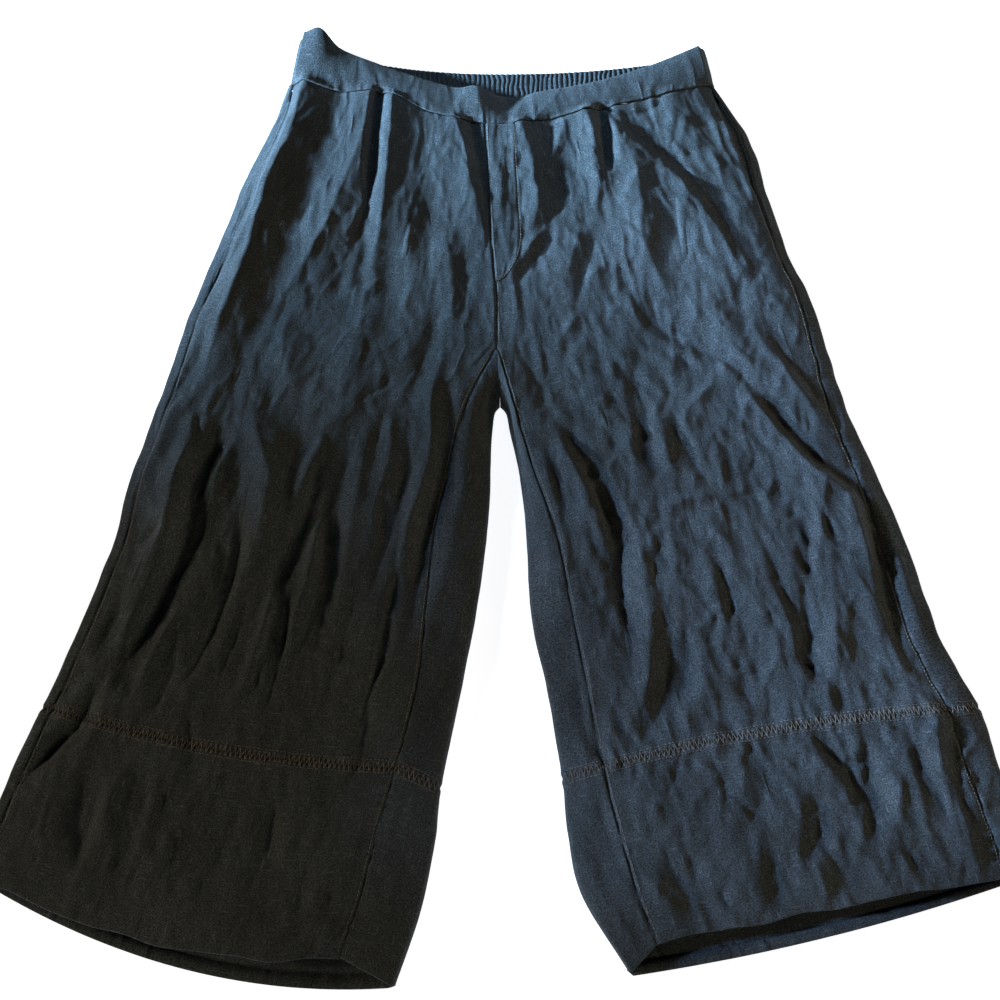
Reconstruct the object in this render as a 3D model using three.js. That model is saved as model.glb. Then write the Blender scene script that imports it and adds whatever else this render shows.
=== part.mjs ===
// Wide-leg cropped trousers lying flat, face up, waist toward +Y and hems toward -Y.
// Millimetres, +Z up. The origin is on the floor, under the middle of the whole garment.
// The wearer's right leg is on the -X side, the wearer's left leg on the +X side.
import * as THREE from "three";

// Cloth
const CLOTH = 1.4; // wall of one layer of linen
const HEM_CLOTH = 1.8; // wall of the turned-up hem band
const BAND_CLOTH = 2.4; // wall of the faced front waistband
const ELASTIC = 3; // casing with the elastic inside
const SEAM_GAP = 0.3; // clearance between two sewn pieces
const HALF_GAP = SEAM_GAP / 2;

// Folded edges where a back panel rolls round from the floor onto the top
const ROLL = 6;
const ROLL_END = THREE.MathUtils.degToRad(65);
const ROLL_IN = ROLL * (1 - Math.cos(ROLL_END));
const ROLL_TOP = ROLL * (1 + Math.sin(ROLL_END));
const RISE_REACH = 45; // the top layer climbs from the roll to its full height over this width

// Stations: 0 is the waist seam, CROTCH the fork, HEM_SEAM the seam of the hem band, HEM the edge
const CROTCH = 4;
const HEM_SEAM = 10;
const HEM = 13;

// Grid of the panels
const FRONT_COLUMNS = 26;
const ROWS_PER_STATION = 3;
const BACK_HIP_STATIONS = [0, 1, 2, 3, 3.75];
const BACK_LEG_STATIONS = [4, 4.25, 4.5, 4.75, 5, 5.5, 6, 7, 8, 9, 10];
const HEM_BACK_STATIONS = [10, 10.5, 11, 11.5, 12, 12.5, 13];
const STRIP_CELLS = 2;
const ROLL_CELLS = 5;
const FLOOR_CELLS = 7;
const INNER_STRIP_CELLS = 3;

// Gathers of the elasticated back waist
const GATHERS = 84;
const GATHER_HEIGHT = 1.4;

const named = (columns, rows) =>
  rows.map((row) => Object.fromEntries(columns.map((name, i) => [name, row[i]])));

// One row per station of a leg: the inner seam (centre front, then inseam), the folded outer
// edge, how far the side seam and the pocket mouth lie in from that edge, how high the top
// layer stands, and how much the row bows toward the waist.
const LEG_COLUMNS = [
  "seamX", "seamY", "outerX", "outerY", "wrap", "mouth", "crown", "bow",
];
const RIGHT_LEG = named(LEG_COLUMNS, [
  [-15, 365, -218, 420, 5, 0, 19, 3],
  [-12, 299, -239, 354, 10, 8, 22, 4],
  [-9, 234, -262, 289, 12, 10, 23, 2],
  [-4, 169, -280, 224, 12, 9, 23, 0],
  [-3, 104, -299, 159, 12, 0, 22, -2],
  [-32, 44, -311, 99, 12, 0, 22, -4],
  [-46, -16, -325, 39, 12, 0, 22, -5],
  [-59, -86, -342, -31, 12, 0, 22, -6],
  [-65, -156, -355, -101, 12, 0, 21, -8],
  [-73, -231, -376, -176, 12, 0, 20, -10],
  [-89, -303, -399, -248, 12, 0, 19, -12],
  [-102, -351, -416, -296, 12, 0, 18, -15],
  [-114, -406, -431, -346, 12, 0, 17, -19],
  [-131, -459, -446, -391, 12, 0, 15, -23],
]);
const LEFT_LEG = named(LEG_COLUMNS, [
  [-15, 365, 222, 420, 5, 0, 19, -9],
  [-12, 299, 256, 354, 10, 10, 22, -3],
  [-9, 234, 269, 289, 12, 4, 23, 0],
  [-4, 169, 283, 224, 12, 0, 23, 2],
  [-3, 104, 303, 159, 14, 0, 22, 4],
  [13, 44, 315, 99, 16, 0, 22, 5],
  [29, -16, 329, 39, 19, 0, 22, 6],
  [51, -86, 351, -31, 22, 0, 22, 7],
  [63, -156, 370, -101, 25, 0, 21, 7],
  [76, -231, 389, -176, 28, 0, 20, 7],
  [88, -303, 417, -248, 30, 0, 19, 8],
  [99, -351, 428, -296, 30, 0, 18, 6],
  [113, -406, 439, -346, 28, 0, 17, 4],
  [128, -449, 446, -391, 26, 0, 15, 3],
]);

// Below the fork a back panel folds round the inner leg. Rows give the station, the folded
// edge, which way that edge faces (0 straight across, -90 down the leg) and the floor's bow.
const FOLD_COLUMNS = ["station", "foldX", "foldY", "turn", "bow"];
const RIGHT_FOLD = named(FOLD_COLUMNS, [
  [CROTCH, -0.15, 48, -90, 0],
  [4.5, -5, 40, -40, 0],
  [5, -7, 20, -8, 0],
  [6, -9, -46, 0, -2],
  [7, -14, -104, 2, -4],
  [8, -23, -169, 6, -6],
  [9, -36, -243, 9, -9],
  [HEM_SEAM, -50, -318, 9, -12],
  [11, -55, -368, 8, -17],
  [12, -67, -426, 10, -22],
  [HEM, -85, -480, 14, -28],
]);
const LEFT_FOLD = named(FOLD_COLUMNS, [
  [CROTCH, 0.15, 48, -90, 0],
  [4.5, 6, 40, -40, 0],
  [5, 9, 22, -8, 0],
  [6, 20, -36, 0, 2],
  [7, 25, -96, 2, 2],
  [8, 28, -161, 6, 1],
  [9, 42, -234, 9, 0],
  [HEM_SEAM, 53, -310, 9, 0],
  [11, 57, -356, 4, -2],
  [12, 68, -408, 24, -5],
  [HEM, 104, -468, 40, -8],
]);

// Centre back seam on the floor, from the waist seam to the top of the gap between the legs
const BACK_WAIST_Y = 397;
const GAP_TOP_Y = 54;
const FORK_POINT = 2; // a back panel's point at the fork stops this short of the four seams
const SIDE_WAIST_Y = 420;

// Largest folds of the front. Each follows a path of places on its leg: the station, and the
// share of the way from the inner seam to the outer edge. A trough has a negative height.
const LARGE_FOLD_COLUMNS = ["width", "height", "path"];
const RIGHT_LARGE_FOLDS = named(LARGE_FOLD_COLUMNS, [
  [13, -7, [[0.1, 0.54], [1, 0.52], [2, 0.49]]], // slot of the pleat
  [12, 6, [[0, 0.47], [1, 0.45], [2, 0.43], [3, 0.44]]], // the pleat
  [26, 6, [[0.1, 0.6], [1, 0.6], [2, 0.63], [3, 0.68], [4, 0.73]]], // before the pleat
  [16, 5, [[3, 0.45], [4, 0.45], [5, 0.42], [6.2, 0.44]]], // below the pleat
  [22, 4, [[0.2, 0.93], [2, 0.9], [4, 0.89], [6, 0.87]]], // beside the side edge
  [20, 5, [[4.1, 0.68], [5, 0.63], [6, 0.66], [7, 0.56], [8, 0.57]]],
  [22, 4, [[0.1, 0.17], [1, 0.1], [2.1, 0.05]]], // toward the fly
  [14, -5, [[0.2, 0.07], [1, 0.04], [2, 0.02]]],
  [13, 4, [[2, 0.2], [3, 0.16], [4.3, 0.17]]],
  [18, 6, [[4.2, 0.17], [5, 0.12], [6, 0.07], [7, 0.1], [8.4, 0.13]]], // inner thigh
  [18, -6, [[5.2, 0.06], [6, 0.03], [7, 0.03], [8.7, 0.05]]],
  [15, 4, [[5.8, 0.29], [7, 0.26], [8.5, 0.27]]],
  [14, -5, [[6.1, 0.7], [7, 0.76], [8, 0.79], [9.5, 0.83]]], // knee
  [13, -6, [[9.4, 0.87], [10.1, 0.88], [10.8, 0.93], [11.3, 0.96]]], // hem band, outer
  [14, -4, [[10.6, 0.8], [11.4, 0.78], [12.3, 0.72]]],
]);
const LEFT_LARGE_FOLDS = named(LARGE_FOLD_COLUMNS, [
  [14, 4, [[0.2, 0.15], [1, 0.17], [2.2, 0.15]]], // beside the fly
  [24, -6, [[0.3, 0.26], [1, 0.27], [2.1, 0.26]]],
  [13, -7, [[0.1, 0.48], [0.7, 0.46], [1.4, 0.43]]], // slot of the pleat
  [26, 5, [[0.3, 0.51], [1, 0.52], [2, 0.52], [3, 0.5], [4, 0.52]]], // the pleat
  [16, -7, [[0.3, 0.54], [0.8, 0.61], [1.4, 0.7], [2, 0.77], [3, 0.84]]], // pleat to side
  [16, -6, [[2.8, 0.83], [3.5, 0.86], [4.1, 0.83], [5, 0.85], [6.2, 0.94]]],
  [28, 5, [[0.9, 0.56], [2, 0.69], [3, 0.74], [4, 0.74], [5, 0.78]]],
  [16, -7, [[2.4, 0.37], [3.4, 0.42], [4, 0.48], [4.6, 0.59], [5.2, 0.7]]], // fork to side
  [16, -7, [[5, 0.67], [5.8, 0.75], [6.8, 0.84], [7.3, 0.92]]],
  [14, -6, [[7.1, 0.9], [7.6, 0.92], [8.5, 0.89], [9.7, 0.85]]],
  [26, -6, [[3.7, 0.05], [4.6, 0.09], [5.4, 0.12], [6.1, 0.15]]], // thigh
  [16, -6, [[5.9, 0.15], [6.6, 0.16], [7.2, 0.18], [8, 0.15], [9.2, 0.12]]],
  [13, -5, [[5.8, 0.07], [6.8, 0.04], [8, 0.03]]],
  [14, -5, [[8.4, 0.25], [9, 0.22], [9.5, 0.17], [9.8, 0.09]]], // shin
  [14, -4, [[7.4, 0.76], [8.2, 0.68], [9, 0.63], [9.9, 0.57]]],
  [14, -7, [[10.1, 0.52], [10.8, 0.61], [11.5, 0.63], [12.2, 0.63]]], // hem band
  [20, 4, [[9.7, 0.84], [10.5, 0.84], [11.4, 0.83]]],
  [16, -5, [[11.6, 0.09], [12.2, 0.12], [12.8, 0.15]]],
]);

// Top edge of the front waistband: low and hollow at the centre, rising to both sides. `spread`
// bends its course sideways and `climb` its rise, as powers of the share of the way to a side.
// The peak beside the wearer's right end stands up by `height` and toward the waist by `rise`.
const BAND_CENTRE = { x: -14, y: 402, z: 20 };
const BAND_RIGHT = { x: -205, y: 477, spread: 0.9, climb: 1.15 };
const BAND_LEFT = { x: 207, y: 464, spread: 0.94, climb: 1.9 };
const BAND_HOLLOW = { along: 0.11, reach: 0.1, depth: 7 };
const BAND_PEAK = { along: -0.9, reach: 0.08, height: 5, rise: 13 };
const BAND_SIDES = [
  { outerX: -211, outerY: 478, roll: 8 },
  { outerX: 215, outerY: 465, roll: 8 },
];

// Top edge of the elasticated back waistband: flat at the centre, rising toward both sides
const ELASTIC_CENTRE_Y = 441;
const ELASTIC_CLIMB = 2.2;

// Mock fly on the left front, beside the centre front seam
const FLY_WIDTH = 31;
const FLY_CLOTH = 1;
const FLY_CLEARANCE = 0.6;
const FLY_STRAIGHT = 2.0; // stations over which the outer edge runs straight
const FLY_END = 2.9; // station where it meets the centre front seam

// Pocket facing that shows between the pocket mouth and the side seam, one column under it
const FACING_DROP = 0.9;

const mix = (a, b, t) => a + (b - a) * t;
const clamp = (v, low, high) => Math.min(high, Math.max(low, v));
const smooth = (t) => {
  const c = clamp(t, 0, 1);
  return c * c * (3 - 2 * c);
};

// Value of a named column where the key column reaches `at`, on a smooth curve through the rows
function pick(rows, column, at, key) {
  const keyOf = (i) => rows[i][key];
  let i = 0;
  while (i < rows.length - 2 && at > keyOf(i + 1)) i += 1;
  const t = clamp((at - keyOf(i)) / (keyOf(i + 1) - keyOf(i)), 0, 1);
  const p1 = rows[i][column];
  const p2 = rows[i + 1][column];
  const span = keyOf(i + 1) - keyOf(i);
  const slope = (a, b) => (rows[b][column] - rows[a][column]) / (keyOf(b) - keyOf(a));
  const m1 = slope(Math.max(0, i - 1), i + 1) * span;
  const m2 = slope(i, Math.min(rows.length - 1, i + 2)) * span;
  const t2 = t * t;
  const t3 = t2 * t;
  const start = (2 * t3 - 3 * t2 + 1) * p1 + (t3 - 2 * t2 + t) * m1;
  return start + (3 * t2 - 2 * t3) * p2 + (t3 - t2) * m2;
}

const RIGHT = { side: -1, rows: RIGHT_LEG, folds: RIGHT_FOLD, bandEnd: BAND_RIGHT };
const LEFT = { side: 1, rows: LEFT_LEG, folds: LEFT_FOLD, bandEnd: BAND_LEFT };

// The legs' outlines run straight between stations, so that pieces cut at different rows meet
function legAt(leg, column, station) {
  const i = clamp(Math.floor(station), 0, HEM - 1);
  return mix(leg.rows[i][column], leg.rows[i + 1][column], station - i);
}

const foldAt = (leg, column, station) => pick(leg.folds, column, station, "station");

// A place on a leg's top layer, across 0 at the inner seam and 1 at the outer edge
function placeOn(leg, [station, across]) {
  const x = mix(legAt(leg, "seamX", station), legAt(leg, "outerX", station), across);
  const y = mix(legAt(leg, "seamY", station), legAt(leg, "outerY", station), across);
  const bow = legAt(leg, "bow", station) * 4 * across * (1 - across);
  return new THREE.Vector2(x, y + bow);
}

const laidOut = (leg, rows) =>
  rows.map((row) => ({ ...row, path: row.path.map((place) => placeOn(leg, place)) }));

const LARGE_FOLDS = [...laidOut(RIGHT, RIGHT_LARGE_FOLDS), ...laidOut(LEFT, LEFT_LARGE_FOLDS)];

// How far a point lies from a path, and how far along the path, from 0 to 1, it is nearest
function nearestOn(path, point) {
  const lengths = path.slice(1).map((end, i) => end.distanceTo(path[i]));
  const total = lengths.reduce((sum, length) => sum + length, 0);
  let passed = 0;
  let best = { distance: Infinity, along: 0 };
  lengths.forEach((length, i) => {
    const step = path[i + 1].clone().sub(path[i]);
    const t = clamp(point.clone().sub(path[i]).dot(step) / length ** 2, 0, 1);
    const distance = path[i].clone().addScaledVector(step, t).distanceTo(point);
    if (distance < best.distance) best = { distance, along: (passed + t * length) / total };
    passed += length;
  });
  return best;
}

// Height added by the large folds at a point of the top layer
function foldHeight(x, y) {
  const point = new THREE.Vector2(x, y);
  return LARGE_FOLDS.reduce((sum, fold) => {
    const { distance, along } = nearestOn(fold.path, point);
    const spread = (2 * distance) / fold.width;
    const arch = Math.min(1, 6.4 * along * (1 - along));
    return sum + fold.height * arch * Math.exp(-spread * spread / 2);
  }, 0);
}

// The outer end of a row, as an inward unit vector and the folded edge itself
function outerEdge(leg, station) {
  const edge = new THREE.Vector2(legAt(leg, "outerX", station), legAt(leg, "outerY", station));
  const seam = new THREE.Vector2(legAt(leg, "seamX", station), legAt(leg, "seamY", station));
  const inward = seam.clone().sub(edge).normalize();
  return { edge, seam, inward };
}

// Climb of the top layer, by the distance in from a folded edge
function drop(distance) {
  const t = clamp((distance - ROLL_IN) / RISE_REACH, 0, 1);
  return (1 - t) ** 2;
}

// Top surface of a leg at a station; the folds fade out toward the rolled edges
function topHeight(leg, station, x, y, fromOuter) {
  const crown = legAt(leg, "crown", station);
  const foldX = foldAt(leg, "foldX", Math.max(CROTCH, station));
  const foldY = foldAt(leg, "foldY", Math.max(CROTCH, station));
  const inLeg = smooth((station - CROTCH) / 1.5);
  const fromInner = Math.hypot(x - foldX, y - foldY);
  const innerDrop = inLeg * drop(fromInner);
  const fade = smooth((fromOuter - 10) / 14) * mix(1, smooth((fromInner - 18) / 14), inLeg);
  const rise = (crown - ROLL_TOP) * (1 - drop(fromOuter)) * (1 - innerDrop);
  return ROLL_TOP + rise + fade * foldHeight(x, y);
}

// A point of a front panel: across 0 at the inner seam, 1 at its outer edge
function frontPoint(leg, station, across) {
  const { edge, seam, inward } = outerEdge(leg, station);
  const tuck = legAt(leg, "wrap", station) + legAt(leg, "mouth", station);
  const start = seam.clone().addScaledVector(inward, -HALF_GAP);
  const end = edge.clone().addScaledVector(inward, tuck + HALF_GAP);
  const at = start.lerp(end, across);
  const fromOuter = at.distanceTo(edge);
  at.y += legAt(leg, "bow", station) * 4 * across * (1 - across);
  return new THREE.Vector3(at.x, at.y, topHeight(leg, station, at.x, at.y, fromOuter));
}

// A closed wall from a grid of { point, normal, thickness }. Cells for which `keep` is false
// are left out, and every free edge is closed by a strip from the outer to the inner surface.
function wall(grid, keep = () => true) {
  const rows = grid.length - 1;
  const columns = grid[0].length - 1;
  const positions = [];
  const index = [];
  const ids = new Map();
  const vertex = (i, j, inner) => {
    const key = `${i},${j},${inner}`;
    if (!ids.has(key)) {
      const { point, normal, thickness } = grid[i][j];
      const p = point.clone().addScaledVector(normal, inner ? -thickness : 0);
      ids.set(key, positions.length / 3);
      positions.push(p.x, p.y, p.z);
    }
    return ids.get(key);
  };
  const present = (i, j) => i >= 0 && j >= 0 && i < rows && j < columns && keep(i, j);
  const quad = (a, b, c, d) => index.push(a, b, c, a, c, d);
  const side = (a, b) => {
    quad(vertex(...b, false), vertex(...a, false), vertex(...a, true), vertex(...b, true));
  };
  for (let i = 0; i < rows; i += 1) {
    for (let j = 0; j < columns; j += 1) {
      if (!present(i, j)) continue;
      const corners = [[i, j], [i, j + 1], [i + 1, j + 1], [i + 1, j]];
      quad(...corners.map((c) => vertex(...c, false)));
      quad(...corners.map((c) => vertex(...c, true)).reverse());
      if (!present(i - 1, j)) side(corners[0], corners[1]);
      if (!present(i, j + 1)) side(corners[1], corners[2]);
      if (!present(i + 1, j)) side(corners[2], corners[3]);
      if (!present(i, j - 1)) side(corners[3], corners[0]);
    }
  }
  const geometry = new THREE.BufferGeometry();
  geometry.setAttribute("position", new THREE.Float32BufferAttribute(positions, 3));
  geometry.setIndex(index);
  return geometry;
}

// The columns of a grid run the other way on the wearer's left, so that faces point outward
const facing = (leg, grid) => (leg.side < 0 ? grid : grid.map((row) => row.slice().reverse()));

const UP = new THREE.Vector3(0, 0, 1);
const DOWN = new THREE.Vector3(0, 0, -1);

function steps(from, to, count) {
  return Array.from({ length: count + 1 }, (_, i) => mix(from, to, i / count));
}

// Half a seam gap in stations, where rows lie this many millimetres apart
const ROW_PITCH = 60;
const STATION_GAP = HALF_GAP / ROW_PITCH;

// A piece's first and last rows stand half a seam gap inside the seams at `from` and `to`
const clear = (station, from, to) => clamp(station, from + STATION_GAP, to - STATION_GAP);

function frontGrid(leg, from, to, thickness) {
  return steps(from, to, (to - from) * ROWS_PER_STATION).map((row) =>
    steps(0, 1, FRONT_COLUMNS).map((across) => {
      const point = frontPoint(leg, clear(row, from, to), across);
      return { point, normal: UP, thickness };
    }),
  );
}

const frontPanel = (leg) => wall(facing(leg, frontGrid(leg, 0, HEM_SEAM, CLOTH)));

const hemFront = (leg) => wall(facing(leg, frontGrid(leg, HEM_SEAM, HEM, HEM_CLOTH)));

// A point on the flat cells of a front panel's grid, for what is laid on it or tucked under it
function onFront(grid, station, column) {
  const i = clamp(Math.floor(station * ROWS_PER_STATION), 0, grid.length - 2);
  const j = clamp(Math.floor(column), 0, FRONT_COLUMNS - 1);
  const down = station * ROWS_PER_STATION - i;
  const near = grid[i][j].point.clone().lerp(grid[i][j + 1].point, column - j);
  const far = grid[i + 1][j].point.clone().lerp(grid[i + 1][j + 1].point, column - j);
  return near.lerp(far, down);
}

// A point on a rolled edge: `outward` is horizontal, the angle runs from -90 (on the floor) up
function rollPoint(edge, outward, angle, roll, thickness) {
  const reach = roll * (Math.cos(angle) - 1);
  const normal = new THREE.Vector3(
    outward.x * Math.cos(angle),
    outward.y * Math.cos(angle),
    Math.sin(angle),
  );
  const point = new THREE.Vector3(
    edge.x + outward.x * reach,
    edge.y + outward.y * reach,
    roll * (1 + Math.sin(angle)),
  );
  return { point, normal, thickness };
}

// Strip and roll at the outer edge of a back row, from the side seam down to the floor
function backOuter(leg, station, thickness) {
  const { edge, inward } = outerEdge(leg, station);
  const outward = inward.clone().negate();
  const seamIn = legAt(leg, "wrap", station) - HALF_GAP;
  const strip = steps(seamIn, ROLL_IN, STRIP_CELLS).slice(0, -1).map((distance) => {
    const at = edge.clone().addScaledVector(inward, distance);
    const z = topHeight(leg, station, at.x, at.y, distance);
    return { point: new THREE.Vector3(at.x, at.y, z), normal: UP, thickness };
  });
  const roll = steps(ROLL_END, -Math.PI / 2, ROLL_CELLS).map((angle) =>
    rollPoint(edge, outward, angle, ROLL, thickness),
  );
  return [...strip, ...roll];
}

function floorRun(from, to, bow, thickness) {
  return steps(0, 1, FLOOR_CELLS).slice(1).map((t) => {
    const point = new THREE.Vector3(mix(from.x, to.x, t), mix(from.y, to.y, t), 0);
    point.y += bow * 4 * t * (1 - t);
    return { point, normal: DOWN, thickness };
  });
}

// A row of the back above the fork ends at the centre back seam, on the floor
function backHipRow(leg, station, thickness) {
  const outer = backOuter(leg, station, thickness);
  const down = station / CROTCH;
  const centre = { x: leg.side * HALF_GAP, y: mix(BACK_WAIST_Y, GAP_TOP_Y, down) };
  const bow = mix((BACK_WAIST_Y - SIDE_WAIST_Y) / 4, 0, down);
  return [...outer, ...floorRun(outer.at(-1).point, centre, bow, thickness)];
}

// A row of the back below the fork folds round the inner leg up to the inseam
function backLegRow(leg, station, thickness) {
  const outer = backOuter(leg, station, thickness);
  const turn = THREE.MathUtils.degToRad(foldAt(leg, "turn", station));
  const outward = new THREE.Vector2(-leg.side * Math.cos(turn), Math.sin(turn));
  const fold = new THREE.Vector2(
    foldAt(leg, "foldX", station),
    foldAt(leg, "foldY", station),
  );
  const { seam, inward } = outerEdge(leg, station);
  const roll = steps(-Math.PI / 2, ROLL_END, ROLL_CELLS).map((angle) =>
    rollPoint(fold, outward, angle, ROLL, thickness),
  );
  const floor = floorRun(
    outer.at(-1).point, roll[0].point, foldAt(leg, "bow", station), thickness,
  );
  const start = roll.at(-1).point;
  const end = seam.clone().addScaledVector(inward, HALF_GAP);
  if (station === CROTCH) end.set(seam.x + leg.side * HALF_GAP, seam.y - FORK_POINT);
  const strip = steps(0, 1, INNER_STRIP_CELLS).slice(1).map((t) => {
    const x = mix(start.x, end.x, t);
    const y = mix(start.y, end.y, t);
    const toSeam = topHeight(leg, station, end.x, end.y, Infinity);
    const z = mix(start.z, toSeam, 1 - (1 - t) ** 2);
    return { point: new THREE.Vector3(x, y, z), normal: UP, thickness };
  });
  return [...outer, ...floor, ...roll.slice(1), ...strip];
}

function backPanel(leg) {
  const inside = (station) => clear(station, 0, HEM_SEAM);
  const hip = BACK_HIP_STATIONS.map((station) => backHipRow(leg, inside(station), CLOTH));
  const below = BACK_LEG_STATIONS.map((station) => backLegRow(leg, inside(station), CLOTH));
  const width = below[0].length;
  const hipCells = hip[0].length - 1;
  const padded = hip.map((row) => [
    ...row,
    ...Array(width - row.length).fill(row.at(-1)),
  ]);
  const grid = [...padded, ...below];
  const flipped = leg.side > 0;
  const keep = (i, j) => {
    const column = flipped ? width - 2 - j : j;
    return i >= hip.length || column < hipCells;
  };
  return wall(facing(leg, grid), keep);
}

function hemBack(leg) {
  const grid = HEM_BACK_STATIONS.map((station) =>
    backLegRow(leg, clear(station, HEM_SEAM, HEM), HEM_CLOTH),
  );
  return wall(facing(leg, grid));
}

// A point of the front waistband's top edge: along -1 at the wearer's right side, 1 at the left
function bandTop(leg, along) {
  const { x, y, spread, climb } = leg.bandEnd;
  const share = Math.abs(along);
  const bell = ({ along: centre, reach }) => Math.exp(-(((along - centre) / reach) ** 2));
  const peak = bell(BAND_PEAK);
  return new THREE.Vector3(
    mix(BAND_CENTRE.x, x, share ** spread),
    mix(BAND_CENTRE.y, y, share ** climb) + BAND_PEAK.rise * peak,
    BAND_CENTRE.z - BAND_HOLLOW.depth * bell(BAND_HOLLOW) + BAND_PEAK.height * peak,
  );
}

// Front waistband: from one rolled side, over the top of the belly, to the other
function waistbandFront() {
  const rows = 4;
  const sideCells = 3;
  const topCells = 48;
  const sideColumn = (leg, sideEnd, angle, t) => {
    const { edge, inward } = outerEdge(leg, -STATION_GAP);
    const at = edge.clone().lerp(new THREE.Vector2(sideEnd.outerX, sideEnd.outerY), t);
    const outward = inward.clone().negate();
    return rollPoint(at, outward, angle, mix(ROLL, sideEnd.roll, t), BAND_CLOTH);
  };
  const topColumn = (along, t) => {
    const leg = along < 0 ? RIGHT : LEFT;
    const low = frontPoint(leg, -STATION_GAP, Math.abs(along));
    const top = bandTop(leg, along);
    const point = new THREE.Vector3(
      mix(low.x, top.x, t),
      mix(low.y + SEAM_GAP, top.y, t),
      mix(low.z, top.z, t) + 2 * t * (1 - t),
    );
    return { point, normal: UP, thickness: BAND_CLOTH };
  };
  const grid = steps(1, 0, rows).map((t) => [
    ...steps(0, ROLL_END, sideCells).map((a) => sideColumn(RIGHT, BAND_SIDES[0], a, t)),
    ...steps(-1, 1, topCells).map((along) => topColumn(along, t)),
    ...steps(ROLL_END, 0, sideCells).map((a) => sideColumn(LEFT, BAND_SIDES[1], a, t)),
  ]);
  return wall(grid.map((row) => row.slice().reverse()));
}

// Back waistband: a flat casing on the floor, gathered all along by the elastic inside
function waistbandBack() {
  const rows = 3;
  const sideCells = 3;
  const low = (x) => {
    const t = x / (x < 0 ? RIGHT_LEG[0].outerX : LEFT_LEG[0].outerX);
    return mix(BACK_WAIST_Y, SIDE_WAIST_Y, t * t) + SEAM_GAP;
  };
  const high = (x) => {
    const end = BAND_SIDES[x < 0 ? 0 : 1];
    return mix(ELASTIC_CENTRE_Y, end.outerY, Math.abs(x / end.outerX) ** ELASTIC_CLIMB);
  };
  const floorColumn = (x, crest, t) => {
    const y = mix(low(x), high(x), t);
    const thickness = ELASTIC + (crest ? GATHER_HEIGHT : 0) * (0.4 + 0.6 * smooth(2 * t));
    return { point: new THREE.Vector3(x, y, 0), normal: DOWN, thickness };
  };
  const sideColumn = (sideEnd, leg, angle, t) => {
    const { edge } = outerEdge(leg, 0);
    const at = new THREE.Vector2(edge.x, low(edge.x));
    at.lerp(new THREE.Vector2(sideEnd.outerX, sideEnd.outerY), t);
    const outward = new THREE.Vector2(leg.side, 0);
    return rollPoint(at, outward, angle, ROLL, ELASTIC - 1);
  };
  const lowAngle = -Math.PI / 2;
  const endAngle = THREE.MathUtils.degToRad(-8);
  const left = RIGHT_LEG[0].outerX + ROLL + 2;
  const right = BAND_SIDES[1].outerX - ROLL - 2;
  const grid = steps(0, 1, rows).map((t) => [
    ...steps(endAngle, lowAngle, sideCells).map((a) => sideColumn(BAND_SIDES[0], RIGHT, a, t)),
    ...steps(left + 4, right - 2, 2 * GATHERS).map((x, i) => floorColumn(x, i % 2 === 1, t)),
    ...steps(lowAngle, endAngle, sideCells).map((a) => sideColumn(BAND_SIDES[1], LEFT, a, t)),
  ]);
  return wall(grid.map((row) => row.slice().reverse()));
}

// Mock fly: a J-shaped facing made from the points of the left front, moved out
function mockFly() {
  const rowCount = 16;
  const cells = 4;
  const start = 0.02;
  const front = frontGrid(LEFT, 0, HEM_SEAM, CLOTH);
  const { edge, seam } = outerEdge(LEFT, 0);
  const full = (FLY_WIDTH / edge.distanceTo(seam)) * FRONT_COLUMNS;
  const grid = steps(start, FLY_END, rowCount).map((station) => {
    const t = clamp((station - FLY_STRAIGHT) / (FLY_END - FLY_STRAIGHT), 0, 1);
    const reach = full * Math.sqrt(Math.max(0.02, 1 - t * t));
    return steps(0.1, reach, cells).map((column) => {
      const point = onFront(front, station, column);
      point.z += FLY_CLEARANCE + FLY_CLOTH;
      return { point, normal: UP, thickness: FLY_CLOTH };
    });
  });
  return wall(facing(LEFT, grid));
}

// Pocket facing: tucked under the pocket mouth and reaching out to the side seam
function pocketFacing(leg, to) {
  const from = 1 / ROWS_PER_STATION;
  const front = frontGrid(leg, 0, HEM_SEAM, CLOTH);
  const under = CLOTH + FACING_DROP;
  const grid = steps(from, to, (to - from) * ROWS_PER_STATION).map((station) => {
    const { edge, inward } = outerEdge(leg, station);
    const mouthEdge = onFront(front, station, FRONT_COLUMNS);
    const seamIn = legAt(leg, "wrap", station) + HALF_GAP;
    const seamEnd = edge.clone().addScaledVector(inward, seamIn);
    const tucked = onFront(front, station, FRONT_COLUMNS - 1);
    const outer = topHeight(leg, station, seamEnd.x, seamEnd.y, seamIn);
    const outerPoint = new THREE.Vector3(seamEnd.x, seamEnd.y, outer);
    return [tucked, mouthEdge, mouthEdge.clone().lerp(outerPoint, 0.5), outerPoint].map((p) => {
      const point = p.clone();
      point.z -= under;
      return { point, normal: UP, thickness: CLOTH };
    });
  });
  return wall(facing(leg, grid));
}

const linen = new THREE.MeshStandardMaterial({
  name: "linen",
  color: 0x3a4654,
  roughness: 0.92,
  metalness: 0,
  side: THREE.DoubleSide,
});

function piece(name, geometry) {
  geometry.computeVertexNormals();
  const mesh = new THREE.Mesh(geometry, linen);
  mesh.name = name;
  return mesh;
}

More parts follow.
